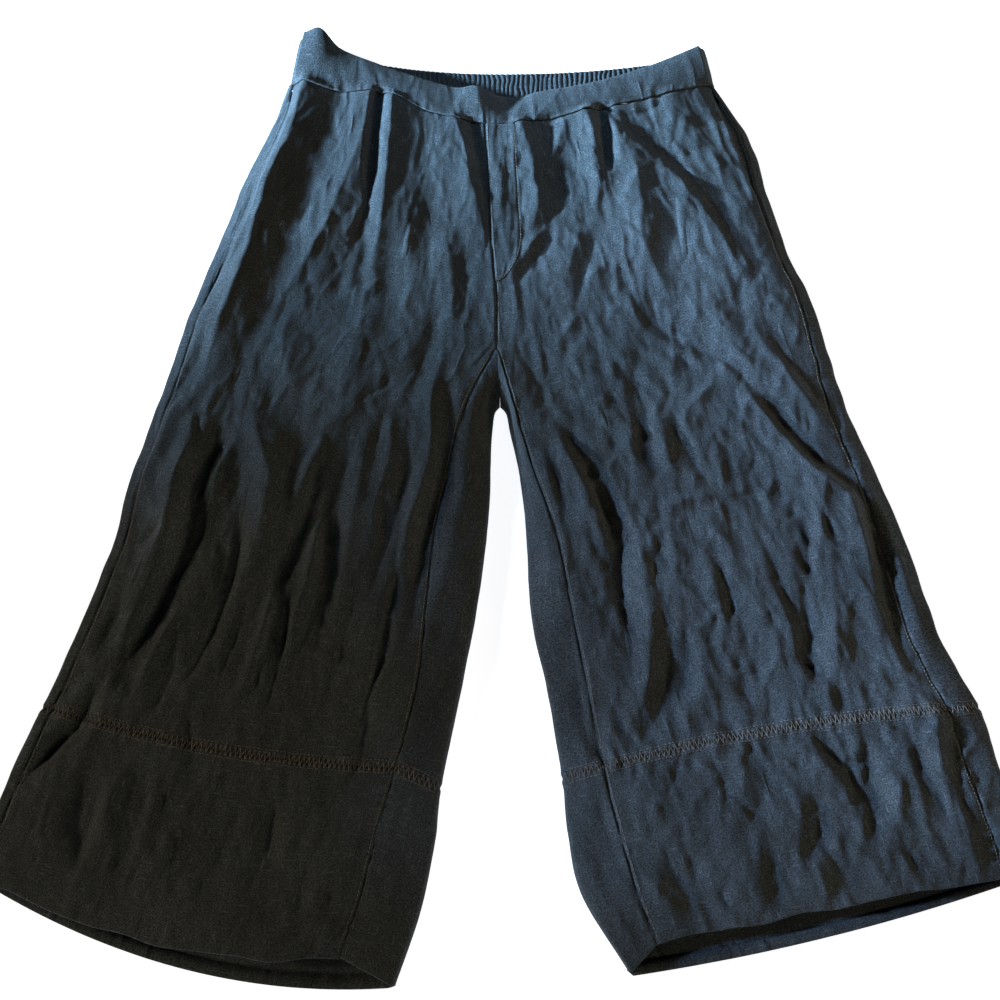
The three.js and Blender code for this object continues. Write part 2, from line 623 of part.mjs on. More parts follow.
const trousers = new THREE.Group();
trousers.name = "wide_leg_cropped_trousers";
trousers.add(
  piece("front_right", frontPanel(RIGHT)),
  piece("front_left", frontPanel(LEFT)),
  piece("back_right", backPanel(RIGHT)),
  piece("back_left", backPanel(LEFT)),
  piece("waistband_front", waistbandFront()),
  piece("waistband_back", waistbandBack()),
  piece("hem_band_right_front", hemFront(RIGHT)),
  piece("hem_band_left_front", hemFront(LEFT)),
  piece("hem_band_right_back", hemBack(RIGHT)),
  piece("hem_band_left_back", hemBack(LEFT)),
  piece("mock_fly", mockFly()),
  piece("pocket_facing_right", pocketFacing(RIGHT, CROTCH - 1 / ROWS_PER_STATION)),
  piece("pocket_facing_left", pocketFacing(LEFT, CROTCH - 1 - 1 / ROWS_PER_STATION)),
);

export default trousers;
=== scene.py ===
"""Wide-leg cropped trousers of dark linen, lying flat, face up.

Lengths in the tables are millimetres in the model's frame: +X the wearer's left, +Y the waist,
+Z up, with the origin on the floor. Meshes are scaled to metres when they are made.
A station is a place along the leg: 0 the waist seam, 4 the fork, 10 the hem band's seam, 13 the hem.
"""
import math
from collections import namedtuple

import bpy
import numpy as np
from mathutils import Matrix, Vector


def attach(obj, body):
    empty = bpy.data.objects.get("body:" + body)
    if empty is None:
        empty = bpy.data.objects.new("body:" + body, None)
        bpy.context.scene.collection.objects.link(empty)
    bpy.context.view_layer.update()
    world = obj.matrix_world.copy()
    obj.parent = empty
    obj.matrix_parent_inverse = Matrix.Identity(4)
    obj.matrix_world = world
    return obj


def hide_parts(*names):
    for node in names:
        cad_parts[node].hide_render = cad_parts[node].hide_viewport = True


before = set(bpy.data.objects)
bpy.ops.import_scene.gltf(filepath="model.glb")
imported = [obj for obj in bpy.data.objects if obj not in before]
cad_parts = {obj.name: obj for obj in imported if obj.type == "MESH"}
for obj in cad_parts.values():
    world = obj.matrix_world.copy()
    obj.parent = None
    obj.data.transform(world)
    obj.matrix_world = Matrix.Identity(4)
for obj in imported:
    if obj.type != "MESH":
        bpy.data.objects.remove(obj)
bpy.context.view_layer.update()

MM = 0.001
SEED = 11

# ---------------------------------------------------------------- sizes
CROTCH = 4  # stations
HEM_SEAM = 10
HEM = 13
ROW_PITCH = 60  # about how far apart two stations lie
BACK_ROWS = 1 / 18  # stations between two rows of a back panel
HEM_BACK_ROWS = 1 / 22
FRONT_ROWS = 1 / 30
HEM_FRONT_ROWS = 1 / 28
FRONT_COLUMNS = 128
FRONT_WIDTH = 262  # about how wide a front is, to space its columns beside the seams
HEM_WIDTH = 300

CLOTH = 0.9  # one layer of linen as it is drawn
BAND_CLOTH = 0.7
FLY_CLOTH = 0.3
FACING_CLOTH = 0.54
ELASTIC_CLOTH = 0.5
SIDE_CLOTH = 1.2
SEAM_GAP = 0.16  # between two sewn pieces

ROLL = 6  # radius of the folded side edges
ROLL_END = math.radians(65)
ROLL_IN = ROLL * (1 - math.cos(ROLL_END))
ROLL_TOP = ROLL * (1 + math.sin(ROLL_END))
RISE_REACH = 45  # the top layer climbs from the roll to its full height over this width
ROLL_ANGLES = 12  # columns round a rolled edge
EDGE_FOLDS = 0.3  # the share of the folds' height that shows on a rolled edge
EDGE_CALM = {"width": 4, "reach": 16}  # and how far in it stays so, and then grows to the whole
FORK_EASE = 1.5  # stations below the fork over which the inner leg takes its full roundness
EDGE_WANDER = ((0.7, 17, 31), (1.3, 47, 41))  # how far a side edge wanders: size, cell, seed

BACK_WAIST_Y = 397
SIDE_WAIST_Y = 420
GAP_TOP_Y = 54  # where the gap between the legs begins
FORK_POINT = 2  # how far below the fronts' fork the backs' inner strips meet

POCKET_LIP = 2.6  # how far the edge of a pocket's mouth stands up
POCKET_LIP_REACH = 6
POCKET_END = {-1: 3.65, 1: 2.65}  # station where each pocket's mouth ends
FACING_LAP = 9  # how far a pocket's facing runs on under the front
FACING_SINK = 2.1  # how far it lies below the front

FLY_WIDTH = 31
FLY_STRAIGHT = 2.0
FLY_END = 2.9

HEM_WAVE = 2.5  # how far the front's hem wanders to each side of its line
HEM_WAVE_CELL = 31

# One row a station: the inner seam, the outer edge, how far the front's side seam and its pocket's
# mouth lie in from that edge, the top layer's height, and how far the row bows toward the waist
LEG_COLUMNS = ("seam_x", "seam_y", "outer_x", "outer_y", "wrap", "mouth", "crown", "bow")
RIGHT_ROWS = [
    (-15, 365, -218, 420, 5, 0, 19, 3),
    (-12, 299, -239, 354, 10, 8, 22, 4),
    (-9, 234, -262, 289, 12, 10, 23, 2),
    (-4, 169, -280, 224, 12, 9, 23, 0),
    (-3, 104, -299, 159, 12, 0, 22, -2),
    (-32, 44, -311, 99, 12, 0, 22, -4),
    (-46, -16, -325, 39, 12, 0, 22, -5),
    (-59, -86, -342, -31, 12, 0, 22, -6),
    (-65, -156, -355, -101, 12, 0, 21, -8),
    (-73, -231, -376, -176, 12, 0, 20, -10),
    (-89, -303, -399, -248, 12, 0, 19, -12),
    (-102, -351, -416, -296, 12, 0, 18, -15),
    (-114, -406, -431, -346, 12, 0, 17, -19),
    (-131, -459, -446, -391, 12, 0, 15, -23),
]
LEFT_ROWS = [
    (-15, 365, 222, 420, 5, 0, 19, -9),
    (-12, 299, 256, 354, 10, 10, 22, -3),
    (-9, 234, 269, 289, 12, 4, 23, 0),
    (-4, 169, 283, 224, 12, 0, 23, 2),
    (-3, 104, 303, 159, 14, 0, 22, 4),
    (13, 44, 315, 99, 16, 0, 22, 5),
    (29, -16, 329, 39, 19, 0, 22, 6),
    (51, -86, 351, -31, 22, 0, 22, 7),
    (63, -156, 370, -101, 25, 0, 21, 7),
    (76, -231, 389, -176, 28, 0, 20, 7),
    (88, -303, 417, -248, 30, 0, 19, 8),
    (99, -351, 428, -296, 30, 0, 18, 6),
    (113, -406, 439, -346, 28, 0, 17, 4),
    (128, -449, 446, -391, 26, 0, 15, 3),
]
# Where a back panel folds round the inner leg: station, x, y, which way the edge faces, floor's bow
FOLD_COLUMNS = ("station", "x", "y", "turn", "bow")
RIGHT_FOLD = [
    (4, -0.15, 48, -90, 0),
    (4.5, -5, 40, -40, 0),
    (5, -7, 20, -8, 0),
    (6, -9, -46, 0, -2),
    (7, -14, -104, 2, -4),
    (8, -23, -169, 6, -6),
    (9, -36, -243, 9, -9),
    (10, -50, -318, 9, -12),
    (11, -55, -368, 8, -17),
    (12, -67, -426, 10, -22),
    (13, -85, -480, 14, -28),
]
LEFT_FOLD = [
    (4, 0.15, 48, -90, 0),
    (4.5, 6, 40, -40, 0),
    (5, 9, 22, -8, 0),
    (6, 20, -36, 0, 2),
    (7, 25, -96, 2, 2),
    (8, 28, -161, 6, 1),
    (9, 42, -234, 9, 0),
    (10, 53, -310, 9, 0),
    (11, 57, -356, 4, -2),
    (12, 68, -408, 24, -5),
    (13, 104, -468, 40, -8),
]
# The seam of the front waistband dips to the centre front, and a pinched fold lifts it at one place
WAIST_DIP = 55
WAIST_CLIMB = 1.4
WAIST_SHIFT_END = 2.2  # station below which the rows no longer follow that dip
WAIST_PINCH = {"x": -118, "reach": 35, "rise": 13}
# Top edge of the front waistband: low and hollow at the centre, rising to both sides. `spread`
# bends its course sideways and `climb` its rise, as powers of the share of the way to a side.
BAND_CENTRE = {"x": -14, "y": 402, "z": 19}
BAND_ENDS = {
    -1: {"x": -205, "y": 477, "z": 21, "spread": 0.9, "climb": 1.15},
    1: {"x": 207, "y": 464, "z": 20, "spread": 0.94, "climb": 1.9},
}
BAND_HOLLOW = {"along": 0.11, "reach": 0.08, "height": -7, "rise": 0}
BAND_PEAKS = [
    {"along": -0.9, "reach": 0.08, "height": 6, "rise": 13},
    {"along": -0.04, "reach": 0.06, "height": 5, "rise": 5},
]
BAND_SIDE_TOP = {-1: (-211, 478), 1: (215, 465)}
BAND_SIDE_ROLL = 8
BAND_SIDE_FLAT = 11  # how far a side roll runs on, flat, under the end of the gathered band
BAND_SIDE_LIFT = 0.4
BAND_ROWS = 30
BAND_COLUMNS = 340
BAND_CROWN = 3  # how far the front waistband bulges between its edges, and swells near them
BAND_SWELL = 1.3
BAND_DIP = 0.6
BAND_CRUMPLE = 0.35
BAND_LAP = 0.5  # the waistband laps over the panels by this much
BAND_EVEN_REACH = 30  # columns to each side over which its low edge is evened out
BAND_CREASE_SHARE = 0.16  # the panels' creases die out over this share of its height
# Top edge of the elasticated back waistband: flat at the centre, rising toward both sides
ELASTIC_CENTRE_Y = 441
ELASTIC_CLIMB = 2.2
ELASTIC_HEIGHT = 3.2  # thickness of the gathered casing
ELASTIC_WIDTH = 44
GATHER_PITCH = 5.1
RIB_HEIGHT = 1.5
SCALLOP = 0.8  # height of the gathers along the casing's top edge
ELASTIC_SHELL = {"columns": 560, "under": 10, "turn": 9, "over": 34}
CASING_ROWS = (0.33, 0.67)  # where the casing is stitched down, as shares of its height

# Creases, given one by one. Each follows a path of places on its leg: the station, and the share of
# the way from the inner seam to the outer edge. West and east are the widths of the flanks on the
# -X and the +X side. Heights are negative for a trough. An open start runs on under the waistband.
Crease = namedtuple("Crease", "height west east open_start path")
RIGHT_CREASES = [
    # hip: from the side edge to the centre front
    (26, 13, 20, 1, [(0, 0.93), (1, 0.885), (2, 0.885), (3.3, 0.87), (4.3, 0.88), (5.2, 0.87), (5.9, 0.86)]),
    (14, 18, 22, 1, [(0, 0.58), (1, 0.575), (2, 0.605), (3, 0.66), (4, 0.72), (4.6, 0.735)]),
    (-16, 4, 5, 1, [(0, 0.54), (0.5, 0.53), (1, 0.515), (1.6, 0.49), (2.2, 0.485)]),
    (11, 6, 18, 1, [(0, 0.47), (0.5, 0.455), (1.2, 0.44), (2, 0.425), (3, 0.435), (3.6, 0.43)]),
    (6, 11, 18, 0, [(3, 0.46), (3.6, 0.43), (4.2, 0.435), (5, 0.4), (5.5, 0.395), (6.2, 0.43), (7, 0.44)]),
    (9, 24, 6, 1, [(0, 0.16), (0.6, 0.1), (1.2, 0.075), (1.6, 0.04), (2.1, 0.028), (2.6, 0.03)]),
    (-8, 5, 7, 1, [(0.1, 0.07), (1, 0.035), (1.8, 0.018), (2.3, 0.02)]),
    (5, 7, 9, 0, [(1.9, 0.2), (2.6, 0.165), (3, 0.155), (3.6, 0.15), (4.2, 0.16)]),
    (-4, 6, 8, 0, [(2.4, 0.12), (3, 0.115), (3.5, 0.12)]),
    (-4, 7, 9, 0, [(3.2, 0.22), (4, 0.21), (4.7, 0.19), (5.3, 0.185)]),
    (-3, 10, 12, 0, [(2, 0.37), (3, 0.37), (4, 0.36), (5, 0.34)]),
    (4, 10, 10, 0, [(1, 0.33), (2, 0.31), (3, 0.31), (4.2, 0.3)]),
    (-4, 4, 5, 0, [(1.9, 0.46), (2.3, 0.49), (2.7, 0.5)]),
    (3, 3, 5, 0, [(3.2, 0.4), (3.35, 0.43), (3.6, 0.46)]),
    # outside of the hip, where many thin creases run into the side seam
    (-4, 4, 5, 0, [(0.85, 0.97), (1.1, 0.93), (1.35, 0.88)]),
    (3, 4, 4, 0, [(1.2, 0.955), (1.8, 0.94), (2.3, 0.95)]),
    (-4, 4, 5, 0, [(1.7, 0.95), (2.4, 0.93), (2.9, 0.975)]),
    (4, 5, 6, 0, [(2.2, 0.92), (2.8, 0.935), (3.4, 0.95)]),
    (-4, 5, 6, 0, [(3, 0.965), (3.6, 0.95), (4.2, 0.955)]),
    (-5, 4, 5, 0, [(2.5, 0.87), (2.85, 0.855), (3.1, 0.85)]),
    (2.5, 4, 5, 0, [(2.6, 0.84), (3.3, 0.785), (3.9, 0.74)]),
    (4, 5, 7, 0, [(3.7, 0.955), (4.5, 0.94), (5.2, 0.945), (5.9, 0.965)]),
    (-5, 5, 6, 0, [(4.3, 0.915), (5, 0.91), (5.5, 0.935), (6.1, 0.955)]),
    (4, 5, 8, 0, [(5.3, 0.91), (5.8, 0.93), (6.6, 0.95), (7.4, 0.96)]),
    # thigh
    (6, 11, 15, 0, [(3.9, 0.665), (4.4, 0.665), (5, 0.605), (5.5, 0.63)]),
    (9, 12, 20, 0, [(5.2, 0.66), (5.9, 0.65), (6.3, 0.6), (6.7, 0.55), (7.3, 0.545), (8, 0.57), (8.5, 0.58)]),
    (9, 10, 8, 0, [(4.1, 0.18), (5, 0.115), (6, 0.065), (6.5, 0.07), (7, 0.09), (8, 0.115), (8.6, 0.13)]),
    (-9, 7, 11, 0, [(4.9, 0.07), (5.5, 0.04), (6.3, 0.025), (7, 0.03), (8, 0.04), (8.9, 0.05)]),
    (-4, 5, 7, 0, [(5.5, 0.145), (6.2, 0.13), (7, 0.135), (7.8, 0.175), (8.4, 0.2)]),
    (5, 8, 10, 0, [(5.2, 0.3), (6, 0.28), (7, 0.265), (8, 0.27), (8.6, 0.28)]),
    (4, 6, 7, 0, [(5.1, 0.24), (6, 0.2), (7, 0.2), (7.8, 0.22)]),
    (-4, 6, 8, 0, [(5.3, 0.36), (6.2, 0.33), (7.2, 0.31), (8.2, 0.31), (9, 0.32), (9.7, 0.34)]),
    (-3, 5, 6, 0, [(7.8, 0.22), (8.5, 0.23), (9.2, 0.245)]),
    (3, 4, 6, 0, [(5.8, 0.42), (6.5, 0.445), (7.1, 0.46)]),
    (-4, 5, 7, 0, [(6.3, 0.41), (7, 0.41), (7.6, 0.44), (8.2, 0.49), (8.7, 0.53)]),
    (-3, 8, 10, 0, [(5.6, 0.5), (6.4, 0.5), (7.2, 0.5)]),
    (9, 9, 13, 0, [(5.7, 0.87), (6.2, 0.845), (6.8, 0.845), (7.4, 0.84), (8.1, 0.86), (8.8, 0.88)]),
    (-5, 9, 14, 0, [(5.7, 0.78), (6.4, 0.76), (7, 0.79), (7.6, 0.81)]),
    (5, 5, 8, 0, [(6, 0.69), (6.6, 0.72), (7, 0.735), (7.5, 0.75)]),
    (-8, 6, 9, 0, [(6.5, 0.745), (7.1, 0.765), (7.7, 0.775), (8.3, 0.79), (9, 0.815), (9.6, 0.83)]),
    (3, 6, 8, 0, [(8, 0.83), (8.6, 0.85), (9.3, 0.87)]),
    (-4, 5, 6, 0, [(8.5, 0.89), (8.9, 0.905), (9.4, 0.92)]),
    (-4, 4, 6, 0, [(7.4, 0.85), (7.7, 0.88), (7.9, 0.92)]),
    (-2.5, 6, 8, 0, [(7.2, 0.65), (8, 0.64), (8.8, 0.65)]),
    (-2.5, 5, 6, 0, [(8, 0.55), (8.5, 0.54), (9.2, 0.56)]),
    (-5, 4, 6, 0, [(6.9, 0.62), (7.8, 0.6), (8.7, 0.62), (9.7, 0.66)]),
    (4, 4, 5, 0, [(7.3, 0.5), (8.2, 0.47), (9.1, 0.48), (9.8, 0.5)]),
    (-4, 4, 5, 0, [(8.1, 0.42), (8.9, 0.4), (9.8, 0.41)]),
    (5, 4, 5, 0, [(6.6, 0.36), (7.6, 0.37), (8.6, 0.39), (9.5, 0.4)]),
    (-5, 4, 5, 0, [(6.8, 0.1), (7.8, 0.11), (8.8, 0.12), (9.8, 0.15)]),
    (4, 4, 5, 0, [(8.3, 0.72), (9, 0.75), (9.8, 0.77)]),
    # shin and hem band
    (3, 5, 6, 0, [(10.2, 0.7), (11, 0.72), (12, 0.7)]),
    (-3, 5, 6, 0, [(10.3, 0.3), (11.2, 0.28), (12.3, 0.3)]),
    (3, 4, 5, 0, [(10.4, 0.62), (11.4, 0.6), (12.6, 0.62)]),
    (-10, 6, 8, 0, [(9.35, 0.86), (9.85, 0.88), (10.15, 0.885), (10.5, 0.915), (10.95, 0.94), (11.5, 0.965)]),
    (-3, 5, 6, 0, [(9, 0.68), (9.4, 0.695), (9.9, 0.7)]),
    (-3, 4, 5, 0, [(9.6, 0.6), (9.95, 0.58), (10.2, 0.57)]),
    (-3, 5, 7, 0, [(9.2, 0.12), (9.6, 0.115), (10, 0.1)]),
    (-5, 9, 12, 0, [(10.5, 0.79), (11.1, 0.795), (11.7, 0.77), (12.4, 0.72)]),
    (-2, 8, 10, 0, [(11, 0.39), (11.8, 0.4), (12.7, 0.42)]),
    (-2, 6, 8, 0, [(11.4, 0.16), (12, 0.16), (12.6, 0.14)]),
    (3, 5, 6, 0, [(12.3, 0.06), (12.7, 0.05), (13, 0.06)]),
    (-3, 5, 6, 0, [(12.5, 0.1), (12.8, 0.16), (13, 0.2)]),
    (2, 10, 12, 0, [(10.2, 0.5), (11.2, 0.53), (12.4, 0.55)]),
]
LEFT_CREASES = [
    # hip: from the centre front to the side edge
    (8, 9, 8, 1, [(0.1, 0.155), (1, 0.165), (1.6, 0.175), (2.1, 0.145), (2.6, 0.13)]),
    (-8, 12, 14, 1, [(0.2, 0.27), (0.8, 0.28), (1.4, 0.27), (2, 0.25), (2.3, 0.27)]),
    (5, 5, 6, 1, [(0.05, 0.35), (0.5, 0.285), (1, 0.235), (1.4, 0.215)]),
    (9, 7, 8, 1, [(0, 0.42), (0.5, 0.425), (1, 0.395), (1.5, 0.395), (2, 0.365)]),
    (-15, 4, 6, 1, [(0, 0.495), (0.4, 0.475), (0.8, 0.455), (1.3, 0.43), (1.5, 0.43)]),
    (12, 18, 14, 1,
     [(0.2, 0.52), (0.7, 0.525), (1.2, 0.54), (1.9, 0.54), (2.7, 0.51), (3.3, 0.54), (3.9, 0.55)]),
    (3, 4, 4, 0, [(1.1, 0.41), (1.35, 0.45), (1.2, 0.48)]),
    (3, 4, 6, 0, [(1.3, 0.555), (1.75, 0.5), (2.0, 0.45)]),
    (3, 4, 6, 0, [(2, 0.59), (2.5, 0.55), (2.9, 0.51)]),
    (-3, 14, 16, 0, [(1.2, 0.6), (2, 0.59), (3, 0.58), (3.8, 0.6)]),
    (9, 20, 5, 0, [(0.7, 0.555), (1.3, 0.64), (2, 0.72), (2.75, 0.78), (3.45, 0.81), (4.1, 0.785)]),
    (-7, 4, 15, 1,
     [(0.2, 0.53), (0.75, 0.6), (1.35, 0.7), (2, 0.78), (2.75, 0.83), (3.4, 0.86), (4.1, 0.84)]),
    (-8, 5, 16, 0, [(3.5, 0.855), (4.2, 0.825), (4.9, 0.845), (5.4, 0.885), (5.9, 0.925), (6.5, 0.96)]),
    (7, 16, 6, 0, [(3.9, 0.77), (4.6, 0.785), (5.2, 0.83), (5.8, 0.87), (6.5, 0.91)]),
    (3, 12, 12, 0, [(1.3, 0.86), (2.2, 0.9), (3.2, 0.94), (4.4, 0.94)]),
    (-3, 4, 5, 0, [(2.6, 0.72), (3.1, 0.72), (3.6, 0.7), (3.9, 0.68)]),
    # across the pocket
    (-4, 3, 4, 0, [(0.1, 0.505), (0.22, 0.58), (0.22, 0.68), (0.06, 0.78)]),
    (-3, 4, 5, 0, [(0.35, 0.57), (0.6, 0.65), (0.9, 0.73)]),
    (-3, 4, 5, 0, [(1.25, 0.71), (1.12, 0.79), (1.12, 0.88), (1.2, 0.91)]),
    (-3, 4, 5, 0, [(0.5, 0.79), (0.62, 0.84), (0.85, 0.89)]),
    (3, 5, 6, 0, [(0.6, 0.7), (0.5, 0.76), (0.75, 0.82)]),
    # fork
    (5, 5, 5, 0, [(2.0, 0.21), (2.4, 0.13), (2.8, 0.055), (2.95, 0.02)]),
    (-5, 5, 6, 0, [(2.15, 0.235), (2.6, 0.145), (2.95, 0.07), (3.1, 0.02)]),
    (4, 5, 6, 0, [(2.1, 0.33), (2.6, 0.275), (3.2, 0.225)]),
    (-5, 5, 7, 0, [(2.1, 0.37), (2.7, 0.33), (3.3, 0.285), (3.8, 0.275)]),
    (4, 4, 6, 0, [(2.7, 0.34), (3.3, 0.305), (3.9, 0.275)]),
    (3, 4, 5, 0, [(3.6, 0.3), (4.0, 0.32), (4.5, 0.35), (5, 0.37)]),
    (3, 4, 5, 0, [(3.6, 0.28), (3.95, 0.22), (4.15, 0.18)]),
    (-4, 10, 14, 0, [(2.3, 0.38), (2.9, 0.385), (3.4, 0.41), (3.8, 0.45)]),
    # from the fork to the side, and down beside it
    (-9, 5, 16, 0, [(3.3, 0.415), (3.8, 0.455), (4.3, 0.515), (4.65, 0.59), (5, 0.665), (5.4, 0.71)]),
    (-8.5, 5, 15, 0, [(5, 0.665), (5.8, 0.755), (6.3, 0.785), (6.8, 0.835), (7.1, 0.895), (7.5, 0.915)]),
    (-9, 5, 11, 0, [(7, 0.88), (7.3, 0.912), (7.8, 0.905), (8.5, 0.885), (9.1, 0.87), (9.7, 0.855)]),
    (12, 18, 6, 0,
     [(5.2, 0.67), (6, 0.73), (6.8, 0.79), (7.2, 0.86), (7.8, 0.865), (8.6, 0.85), (9.2, 0.83)]),
    (7, 14, 10, 0, [(3.2, 0.63), (4, 0.66), (5, 0.73), (5.8, 0.8), (6.4, 0.84)]),
    (4, 8, 8, 0, [(6.8, 0.93), (7.6, 0.955), (8.6, 0.95), (9.5, 0.94)]),
    (4, 6, 8, 0, [(6.6, 0.76), (7.3, 0.775), (7.8, 0.74), (8.6, 0.7)]),
    # thigh
    (-9, 14, 18, 0, [(3.5, 0.04), (4.3, 0.07), (5.1, 0.11), (5.7, 0.145)]),
    (-15, 8, 12, 0,
     [(5.3, 0.125), (6, 0.15), (6.7, 0.163), (7.25, 0.18), (7.7, 0.16), (8.4, 0.14), (9.3, 0.12)]),
    (9, 9, 7, 0, [(5.4, 0.09), (6.2, 0.115), (6.9, 0.125), (7.6, 0.115)]),
    (5, 8, 7, 0, [(6.1, 0.22), (6.8, 0.215), (7.5, 0.225), (8.3, 0.21), (8.9, 0.18)]),
    (-5, 7, 9, 0, [(5.6, 0.08), (6.2, 0.055), (6.9, 0.042), (7.4, 0.035), (8, 0.025)]),
    (5, 7, 5, 0, [(5.7, 0.05), (6.4, 0.03), (7, 0.015)]),
    (-5, 6, 8, 0, [(4.6, 0.33), (5, 0.36), (5.4, 0.385), (5.8, 0.37)]),
    (-4, 8, 10, 0, [(5.6, 0.27), (6.1, 0.255), (6.8, 0.25)]),
    (4, 7, 7, 0, [(5.2, 0.28), (6, 0.3), (6.6, 0.29)]),
    (-4, 6, 8, 0, [(5.2, 0.41), (5.7, 0.37), (6.4, 0.335), (7, 0.32)]),
    (4, 6, 8, 0, [(5.3, 0.44), (6, 0.4), (6.8, 0.38)]),
    (-5, 6, 9, 0, [(4.6, 0.56), (5.1, 0.545), (5.5, 0.535)]),
    (3, 4, 4, 0, [(5.3, 0.61), (5.55, 0.54), (5.7, 0.5)]),
    (-4, 4, 5, 0, [(5.6, 0.46), (6, 0.445), (6.5, 0.46), (6.9, 0.45)]),
    (-3, 4, 5, 0, [(6.2, 0.6), (6.6, 0.55), (7, 0.53)]),
    (3, 4, 5, 0, [(6.2, 0.56), (6.6, 0.53), (7, 0.51)]),
    # knee, where a crease crosses the leg
    (4, 4, 4, 0, [(7.0, 0.3), (6.98, 0.37), (6.98, 0.44), (7.05, 0.52)]),
    (-2, 6, 6, 0, [(7.2, 0.32), (7.15, 0.4), (7.2, 0.48)]),
    (-3, 4, 5, 0, [(7.05, 0.52), (7.1, 0.6), (7.5, 0.66)]),
    (-5, 6, 9, 0, [(7.35, 0.425), (7.8, 0.435), (8.3, 0.44), (8.9, 0.435)]),
    (4, 6, 5, 0, [(7.6, 0.4), (8.3, 0.41), (9, 0.41)]),
    (-5, 6, 8, 0, [(7.7, 0.59), (8.3, 0.6), (8.8, 0.6), (9.2, 0.61)]),
    (5, 5, 5, 0, [(8.2, 0.57), (8.7, 0.58), (9.2, 0.595)]),
    (-7, 6, 10, 0, [(7.2, 0.77), (7.8, 0.71), (8.4, 0.66), (9, 0.63), (9.6, 0.59), (10, 0.56)]),
    (3, 5, 6, 0, [(8.4, 0.74), (9, 0.7), (9.7, 0.63)]),
    (-3, 5, 6, 0, [(8.8, 0.74), (9.2, 0.77), (9.6, 0.8)]),
    (-4, 8, 10, 0, [(8.7, 0.5), (9.3, 0.44), (9.8, 0.4)]),
    # shin
    (-5, 6, 8, 0, [(7.3, 0.3), (7.7, 0.26), (8.2, 0.225)]),
    (-8, 8, 11, 0, [(8.2, 0.27), (8.7, 0.25), (9.1, 0.22), (9.5, 0.17), (9.8, 0.1), (9.9, 0.04)]),
    (5, 7, 6, 0, [(8.4, 0.2), (9, 0.175), (9.5, 0.12)]),
    (-4, 6, 8, 0, [(8.5, 0.3), (9.1, 0.275), (9.6, 0.22)]),
    (3, 6, 7, 0, [(8.6, 0.33), (9.2, 0.31), (9.8, 0.27)]),
    # hem band
    (-10, 6, 11, 0, [(9.95, 0.51), (10.4, 0.565), (10.8, 0.61), (11.3, 0.63), (11.8, 0.635), (12.3, 0.615)]),
    (5, 6, 6, 0, [(10.8, 0.75), (11.4, 0.71), (12, 0.65), (12.4, 0.63)]),
    (4, 12, 6, 0, [(10.1, 0.48), (10.8, 0.55), (11.5, 0.59), (12.2, 0.58)]),
    (-4, 4, 5, 0, [(10, 0.27), (10.7, 0.285), (11.4, 0.29)]),
    (-5, 7, 10, 0, [(10.1, 0.42), (10.9, 0.39), (11.3, 0.34), (11.6, 0.29)]),
    (-5, 6, 7, 0, [(10.9, 0.5), (11.5, 0.495), (12, 0.455), (12.5, 0.41)]),
    (-5, 6, 9, 0, [(11.9, 0.49), (12.4, 0.495), (13, 0.5)]),
    (5, 9, 8, 0, [(11.9, 0.44), (12.4, 0.45), (13, 0.46)]),
    (5, 12, 9, 0, [(9.5, 0.84), (10.2, 0.855), (10.8, 0.84), (11.4, 0.83)]),
    (-5, 8, 10, 0, [(10, 0.92), (10.6, 0.9), (11.3, 0.87)]),
    (-3, 5, 6, 0, [(10.8, 0.91), (11.3, 0.93), (11.6, 0.97)]),
    (-5, 8, 12, 0, [(11.6, 0.08), (12, 0.11), (12.5, 0.14), (13, 0.18)]),
    (4, 8, 8, 0, [(11.7, 0.03), (12.2, 0.05), (12.7, 0.1)]),
    (-4, 4, 5, 0, [(12.1, 0.19), (12.6, 0.21), (13, 0.24)]),
    (-5, 7, 9, 0, [(11.7, 0.36), (12.3, 0.345), (13, 0.33)]),
    (4, 7, 7, 0, [(11.6, 0.29), (12.3, 0.28), (13, 0.28)]),
    (-4, 5, 7, 0, [(12, 0.68), (12.5, 0.7), (13, 0.72)]),
    (3, 7, 8, 0, [(11.6, 0.8), (12.3, 0.83), (13, 0.85)]),
    # the fold of the back panel beside the inseam
    (-5, 13, 5, 0, [(8, -0.01), (8.6, -0.02), (9.3, -0.025), (10, -0.02)]),
    (-5, 13, 5, 0, [(10.2, -0.02), (11, -0.03), (11.7, -0.04), (12.3, -0.06)]),
]


# ---------------------------------------------------------------- small maths
CELLS = 64  # of a noise, before it repeats


def mix(a, b, t):
    return a + (b - a) * t


def smooth(t):
    c = np.clip(t, 0, 1)
    return c * c * (3 - 2 * c)


def curve(keys, values, at):
    """Value at many places of a smooth curve through the points (keys, values)."""
    keys = np.asarray(keys, float)
    values = np.asarray(values, float)
    at = np.asarray(at, float)
    slopes = np.gradient(values, keys)
    i = np.clip(np.searchsorted(keys, at, side="right") - 1, 0, len(keys) - 2)
    span = keys[i + 1] - keys[i]
    t = np.clip((at - keys[i]) / span, 0, 1)
    t2 = t * t
    t3 = t2 * t
    start = (2 * t3 - 3 * t2 + 1) * values[i] + (t3 - 2 * t2 + t) * span * slopes[i]
    return start + (3 * t2 - 2 * t3) * values[i + 1] + (t3 - t2) * span * slopes[i + 1]


